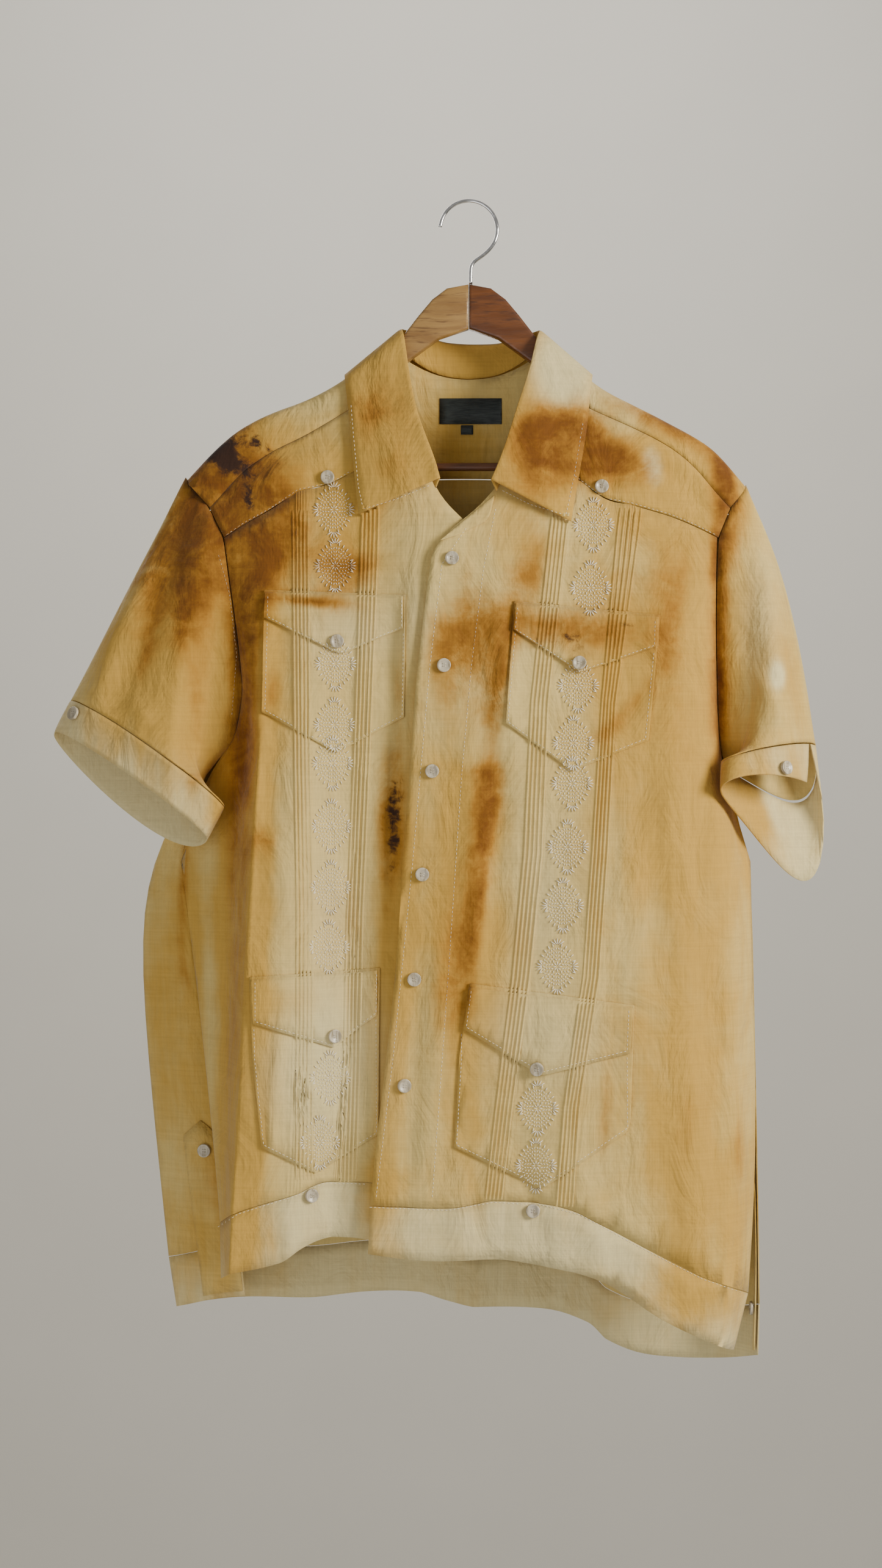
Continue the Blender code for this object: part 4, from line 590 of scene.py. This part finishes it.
def foldTucks(tree):    # a tuck is broken where it steps from one layer to another
    for name, group in tuckGroups.items():
        drops = [row[0] for row in group]
        rows = int((drops[-1] - drops[0]) / tuckFold["step"])
        bm = bmesh.new()
        for tuck in range(tuckFold["count"]):
            before, last = None, None
            for i in range(rows + 1):
                drop = drops[0] + (drops[-1] - drops[0]) * i / rows
                low, high = (np.interp(drop, drops, [row[side] for row in group]) for side in (1, 2))
                middle = low + (high - low) * (tuck + 0.5) / tuckFold["count"]
                toEnd = (min(i, rows - i) + 0.3) * tuckFold["step"]
                ring = tuckRing(tree, middle, drop, min(1.0, toEnd / tuckFold["ends"]))
                if ring is None:
                    before = None
                    continue
                crest = ring[tuckFold["across"] // 2].y
                if last is not None and abs(crest - last) > tuckFold["layerStep"] * mm:
                    before = None
                last = crest
                now = [bm.verts.new(spot) for spot in ring]
                if before:
                    for j in range(len(now) - 1):
                        bm.faces.new((before[j], now[j], now[j + 1], before[j + 1]))
                before = now
        loose = [vertex for vertex in bm.verts if not vertex.link_faces]
        bmesh.ops.delete(bm, geom=loose, context="VERTS")
        bmesh.ops.recalc_face_normals(bm, faces=bm.faces[:])
        threadPiece("tucks_" + name, bm, "linen")


# Embroidered star flowers down the strips between the tucks
medallion = {
    "wide": 31.0, "high": 43.0, "petal": (5.8, 1.05, 1.3), "oval": (3.6, 1.0, 1.3), "inner": (2.6, 0.9, 1.0),
    "fill": (2.3, 0.85, 0.8),
}
medallionPlaces = {
    "left": ((-110.5, 251.5), (-109.5, 297.5), (-109.0, 377.5), (-110.0, 427.5), (-111.5, 459.0),
             (-112.5, 510.5), (-113.0, 560.5), (-114.5, 609.5), (-113.5, 716.5), (-122.0, 769.5)),
    "right": ((102.0, 264.0), (99.5, 315.5), (89.5, 395.5), (85.5, 442.5), (84.5, 475.5), (81.0, 527.5),
              (77.0, 575.5), (72.5, 625.5), (56.5, 741.5), (55.0, 788.5)),
}


def stitchesOfMedallion():
    # x, drop, angle, long, wide, high about the middle: fans at four points, ovals between, rings inside
    halfWide, halfHigh = medallion["wide"] / 2, medallion["high"] / 2
    stitches = []
    for heading in range(4):
        facing = heading * math.pi / 2
        reach = halfWide if heading % 2 == 0 else halfHigh
        tipX, tipDrop = math.cos(facing) * reach, math.sin(facing) * reach
        for i in range(-2, 3):
            angle = facing + i * 0.5
            back = 3.6 + abs(i) * 0.3
            x, drop = tipX * 0.74 + math.cos(angle) * back, tipDrop * 0.80 + math.sin(angle) * back
            stitches.append((x, drop, angle, *medallion["petal"]))
    for quarter in range(4):
        for i in range(1, 6):
            t = (quarter + i / 6) * math.pi / 2
            x, drop = math.cos(t) * halfWide * 0.90, math.sin(t) * halfHigh * 0.84
            stitches.append((x, drop, math.atan2(drop, x), *medallion["oval"]))
    for ring, count in ((0.72, 34), (0.58, 28), (0.44, 20), (0.30, 12)):
        for i in range(count):
            t = 2 * math.pi * (i + 0.5 * (ring < 0.6)) / count
            x, drop = math.cos(t) * halfWide * ring, math.sin(t) * halfHigh * ring * 0.95
            lean = t + (0.6 if i % 2 else -0.6)
            stitches.append((x, drop, lean, *medallion["fill" if ring > 0.4 else "inner"]))
    for i in range(8):
        t = i * math.pi / 4
        stitches.append((math.cos(t) * 2.4, math.sin(t) * 2.8, t, 3.4, 1.0, 0.9))
    return stitches


def embroider(tree):
    pattern = stitchesOfMedallion()
    for side, places in medallionPlaces.items():
        bm = bmesh.new()
        for middleX, middleDrop in places:
            for x, drop, angle, long, wide, high in pattern:
                addStitch(bm, tree, middleX + x, middleDrop + drop, angle, long, wide, high)
        threadPiece("embroidery_" + side, bm)


# Topstitching: runs of x, drop along seams and edges
topstitching = {"pitch": 3.4, "long": 2.5, "wide": 0.55, "high": 0.45}
stitchRuns = (
    ((-86.5, 251.0), (-90.5, 232.0), (-94.5, 190.0), (-96.5, 165.0)),
    ((-86.5, 251.0), (-60.0, 243.0), (-32.0, 231.5)),
    ((86.0, 225.0), (79.5, 256.0), (50.0, 247.0), (27.0, 235.5)), ((86.0, 225.0), (93.5, 180.0)),
    ((-2.0, 266.0), (-22.0, 296.0), (-32.0, 380.0), (-46.0, 540.0), (-62.0, 700.0), (-76.0, 815.0)),
    ((22.0, 250.0), (12.0, 300.0), (2.0, 380.0), (-6.0, 470.0), (-16.0, 620.0), (-26.0, 760.0),
     (-30.0, 815.0)),
    ((-165.0, 344.0), (-167.0, 415.5), (-109.0, 448.0), (-54.5, 420.0), (-53.5, 352.0)),
    ((-164.5, 321.5), (-165.0, 339.0), (-105.5, 368.5), (-55.0, 347.5), (-55.0, 325.0)),
    ((38.0, 352.0), (32.0, 425.0), (84.5, 463.0), (144.5, 439.0), (151.5, 368.0)),
    ((40.0, 331.0), (38.0, 349.0), (91.0, 383.5), (152.0, 362.5), (152.5, 342.0)),
    ((-176.0, 676.0), (-175.5, 700.0), (-168.0, 771.5), (-126.5, 792.0), (-75.5, 761.5), (-76.0, 668.0)),
    ((-175.0, 638.0), (-175.0, 670.5), (-112.0, 689.5), (-76.0, 663.5), (-75.5, 631.0)),
    ((-6.0, 680.0), (-6.0, 700.0), (-10.0, 771.5), (60.0, 805.0), (130.0, 757.5), (129.5, 699.0)),
    ((2.0, 645.0), (-2.0, 675.0), (59.5, 712.0), (129.5, 694.5), (131.0, 661.0)),
    ((-82.0, 822.5), (-17.0, 825.0), (20.0, 818.5), (59.0, 820.5), (91.0, 828.5), (131.0, 850.5),
     (166.0, 868.5), (192.0, 881.5), (230.0, 894.5)),
    ((-206.0, 839.0), (-189.0, 828.0), (-140.0, 812.5), (-118.0, 802.5), (-84.0, 803.5)),
    ((-199.0, 272.5), (-184.0, 262.0), (-162.0, 250.0), (-140.0, 235.0), (-112.0, 229.0), (-97.0, 220.0)),
    ((86.0, 223.0), (111.0, 242.0), (132.0, 245.5), (166.0, 255.5), (184.0, 263.0), (202.0, 272.0)),
    ((-205.0, 288.0), (-196.0, 320.0), (-190.0, 370.0), (-194.0, 420.0)),
)


def topstitch(tree):
    size = topstitching["long"], topstitching["wide"], topstitching["high"]
    bm = bmesh.new()
    for run in stitchRuns:
        for (startX, startDrop), (endX, endDrop) in zip(run, run[1:]):
            wayX, wayDrop = endX - startX, endDrop - startDrop
            count = max(1, round(math.hypot(wayX, wayDrop) / topstitching["pitch"]))
            angle = math.atan2(wayDrop, wayX)
            for i in range(count):
                t = (i + 0.5) / count
                addStitch(bm, tree, startX + wayX * t, startDrop + wayDrop * t, angle, *size)
    threadPiece("topstitching", bm)


# Buttons: radii, heights and widths in mm
buttonShape = {"radius": 5.7, "taper": 0.96, "thick": 2.4, "rim": 0.75, "dish": 0.6, "sides": 32,
               "edge": 0.45, "holeRadius": 0.75, "holeOut": 1.35, "holeDeep": 0.12, "strand": 0.34,
               "strandLift": 0.15}


def buttonDisc():
    shape = buttonShape
    bm = bmesh.new()
    bmesh.ops.create_cone(bm, cap_ends=True, segments=shape["sides"], radius1=shape["radius"],
                          radius2=shape["radius"] * shape["taper"], depth=shape["thick"])
    rims = [edge for edge in bm.edges if edge.calc_face_angle() > 1.0]
    bmesh.ops.bevel(bm, geom=rims, offset=shape["edge"], segments=3, profile=0.5, affect="EDGES", material=-1)
    top = max(bm.faces, key=lambda face: face.calc_center_median().z)
    bmesh.ops.inset_region(bm, faces=[top], thickness=shape["rim"])
    bmesh.ops.inset_region(bm, faces=[top], thickness=shape["rim"], depth=-shape["dish"])
    return bm


def paintFaces(made, material):
    for face in {face for vertex in made["verts"] for face in vertex.link_faces}:
        face.material_index = material


def sewButton(node, tree):
    shape = buttonShape
    points = drape(np.array([vertex.co for vertex in nodes[node].data.vertices]))
    middle = points.mean(axis=0)
    normal = Vector(np.linalg.svd(points - middle)[2][2])
    near = tree.find_nearest(Vector(middle))[0]
    if normal.dot(Vector(middle) - near) < 0.0:
        normal = -normal
    bm = buttonDisc()
    floor = shape["thick"] / 2 - shape["dish"]
    for corner in range(4):
        angle = math.pi / 4 + corner * math.pi / 2
        spot = Vector((math.cos(angle), math.sin(angle), 0.0)) * shape["holeOut"]
        spot.z = floor
        # the four holes are shallow discs in the dark hole finish, painted shade in place of open holes
        paintFaces(bmesh.ops.create_cone(
            bm, cap_ends=True, segments=10, radius1=shape["holeRadius"], radius2=shape["holeRadius"],
            depth=shape["holeDeep"], matrix=Matrix.Translation(spot)), 1)
    for way in (-1, 1):    # two strands of thread, each from hole to hole
        size = Matrix.Diagonal((shape["holeOut"] * 0.95, shape["strand"], shape["strand"], 1.0))
        spot = Matrix.Translation((0.0, way * shape["holeOut"] * 0.71, floor + shape["strandLift"]))
        paintFaces(bmesh.ops.create_icosphere(bm, subdivisions=2, radius=1.0, matrix=spot @ size), 2)
    turn = normal.to_track_quat("Z", "Y").to_matrix().to_4x4()
    place = Matrix.Translation(Vector(middle)) @ turn @ Matrix.Scale(mm, 4)
    bmesh.ops.transform(bm, matrix=place, verts=bm.verts[:])
    mesh = bpy.data.meshes.new(node + "_pearl")
    bm.to_mesh(mesh)
    bm.free()
    piece = link(bpy.data.objects.new(node + "_pearl", mesh))
    dress(piece, node, "pearl")
    piece.data.materials.append(finishes["hole"])
    piece.data.materials.append(finishes["thread"])
    paintStainsAndShade(piece)


# Hanger: the solids' own outline, its edges eased
hangerEase = {"ease": 2.4, "segments": 4, "flat": 0.02, "sharp": 1.2}


def easeArm(node, finish):
    bm = weldedMesh(node)
    bmesh.ops.dissolve_limit(bm, angle_limit=hangerEase["flat"], verts=bm.verts[:], edges=bm.edges[:])
    rims = [edge for edge in bm.edges if len(edge.link_faces) == 2
            and edge.calc_face_angle() > hangerEase["sharp"]
            and abs(edge.verts[0].co.y - edge.verts[1].co.y) < 0.001 * mm]
    bmesh.ops.bevel(bm, geom=rims, offset=hangerEase["ease"] * mm, segments=hangerEase["segments"],
                    profile=0.5, affect="EDGES", material=-1, clamp_overlap=True)
    mesh = bpy.data.meshes.new(node + "_eased")
    bm.to_mesh(mesh)
    bm.free()
    dress(link(bpy.data.objects.new(node + "_eased", mesh)), node, finish)


def hangUp():
    easeArm("hanger_arm_left", "oak")
    easeArm("hanger_arm_right", "red_wood")
    dress(softCopy("hanger_bar", 2), "hanger_bar", "red_wood")
    dress(softCopy("hanger_hook", 2, 80.0), "hanger_hook", "chrome")


# Room: a pale floor and wall, well away from the shirt
room = {"wallBehind": 3.7, "floorDrop": 2.55, "half": 6.0, "wall": (0.66, 0.63, 0.565),
        "floor": (0.60, 0.58, 0.53), "air": (0.80, 0.79, 0.77, 1.0), "glow": 0.42}


def roomPiece(name, colour, place):
    bm = bmesh.new()
    bmesh.ops.create_grid(bm, x_segments=2, y_segments=2, size=room["half"], matrix=place)
    mesh = bpy.data.meshes.new(name)
    bm.to_mesh(mesh)
    bm.free()
    paint = Finish(name + "Paint", 0.9)
    shaded = tuple(channel * 0.98 for channel in colour)
    mesh.materials.append(paint.shade(paint.mix(paint.noise(3.0).ramp(0.3, 0.7), colour, shaded)))
    link(bpy.data.objects.new(name, mesh))


lamps = {
    "key": {"place": (1.75, -1.15, 0.10), "size": 0.8, "power": 62.0, "colour": (1.0, 0.95, 0.86)},
    "fill": {"place": (-0.9, -1.8, -1.2), "size": 1.8, "power": 15.0, "colour": (0.96, 0.97, 1.0)},
    "rear": {"place": (-0.6, 1.9, 0.5), "size": 1.6, "power": 30.0, "colour": (1.0, 0.97, 0.93)},
    "backdrop": {"place": (0.0, 1.6, 1.6), "size": 2.6, "power": 70.0, "colour": (1.0, 0.99, 0.96)},
}
lampAim = Vector((0.0, 0.0, -0.5))
wallAim = Vector((0.0, room["wallBehind"], -0.5))


def lightRoom():
    upright = Matrix.Rotation(math.pi / 2, 4, "X")
    roomPiece("wall", room["wall"], Matrix.Translation((0.0, room["wallBehind"], 0.0)) @ upright)
    roomPiece("floor", room["floor"], Matrix.Translation((0.0, 0.0, -room["floorDrop"])))
    for name, lamp in lamps.items():
        data = bpy.data.lights.new(name, "AREA")
        data.size, data.energy, data.color = lamp["size"], lamp["power"], lamp["colour"]
        holder = link(bpy.data.objects.new(name, data))
        holder.location = lamp["place"]
        aim = wallAim if name == "backdrop" else lampAim
        holder.rotation_euler = (aim - Vector(lamp["place"])).to_track_quat("-Z", "Y").to_euler()
    world = bpy.data.worlds.new("softRoom")
    world.use_nodes = True
    world.node_tree.nodes["Background"].inputs[0].default_value = room["air"]
    world.node_tree.nodes["Background"].inputs[1].default_value = room["glow"]
    bpy.context.scene.world = world


makeCamera()
lightRoom()
print("room and camera ready")
cloth = sewCloth()
print("cloth sewn:", len(cloth), "pieces")
outer = surfaceOf(cloth.values())
foldTucks(outer)
print("tucks folded")
embroider(outer)
topstitch(outer)
print("thread laid")
for node in sorted(nodes):
    if node.startswith("button_"):
        sewButton(node, outer)
hangUp()
print("buttons and hanger done")
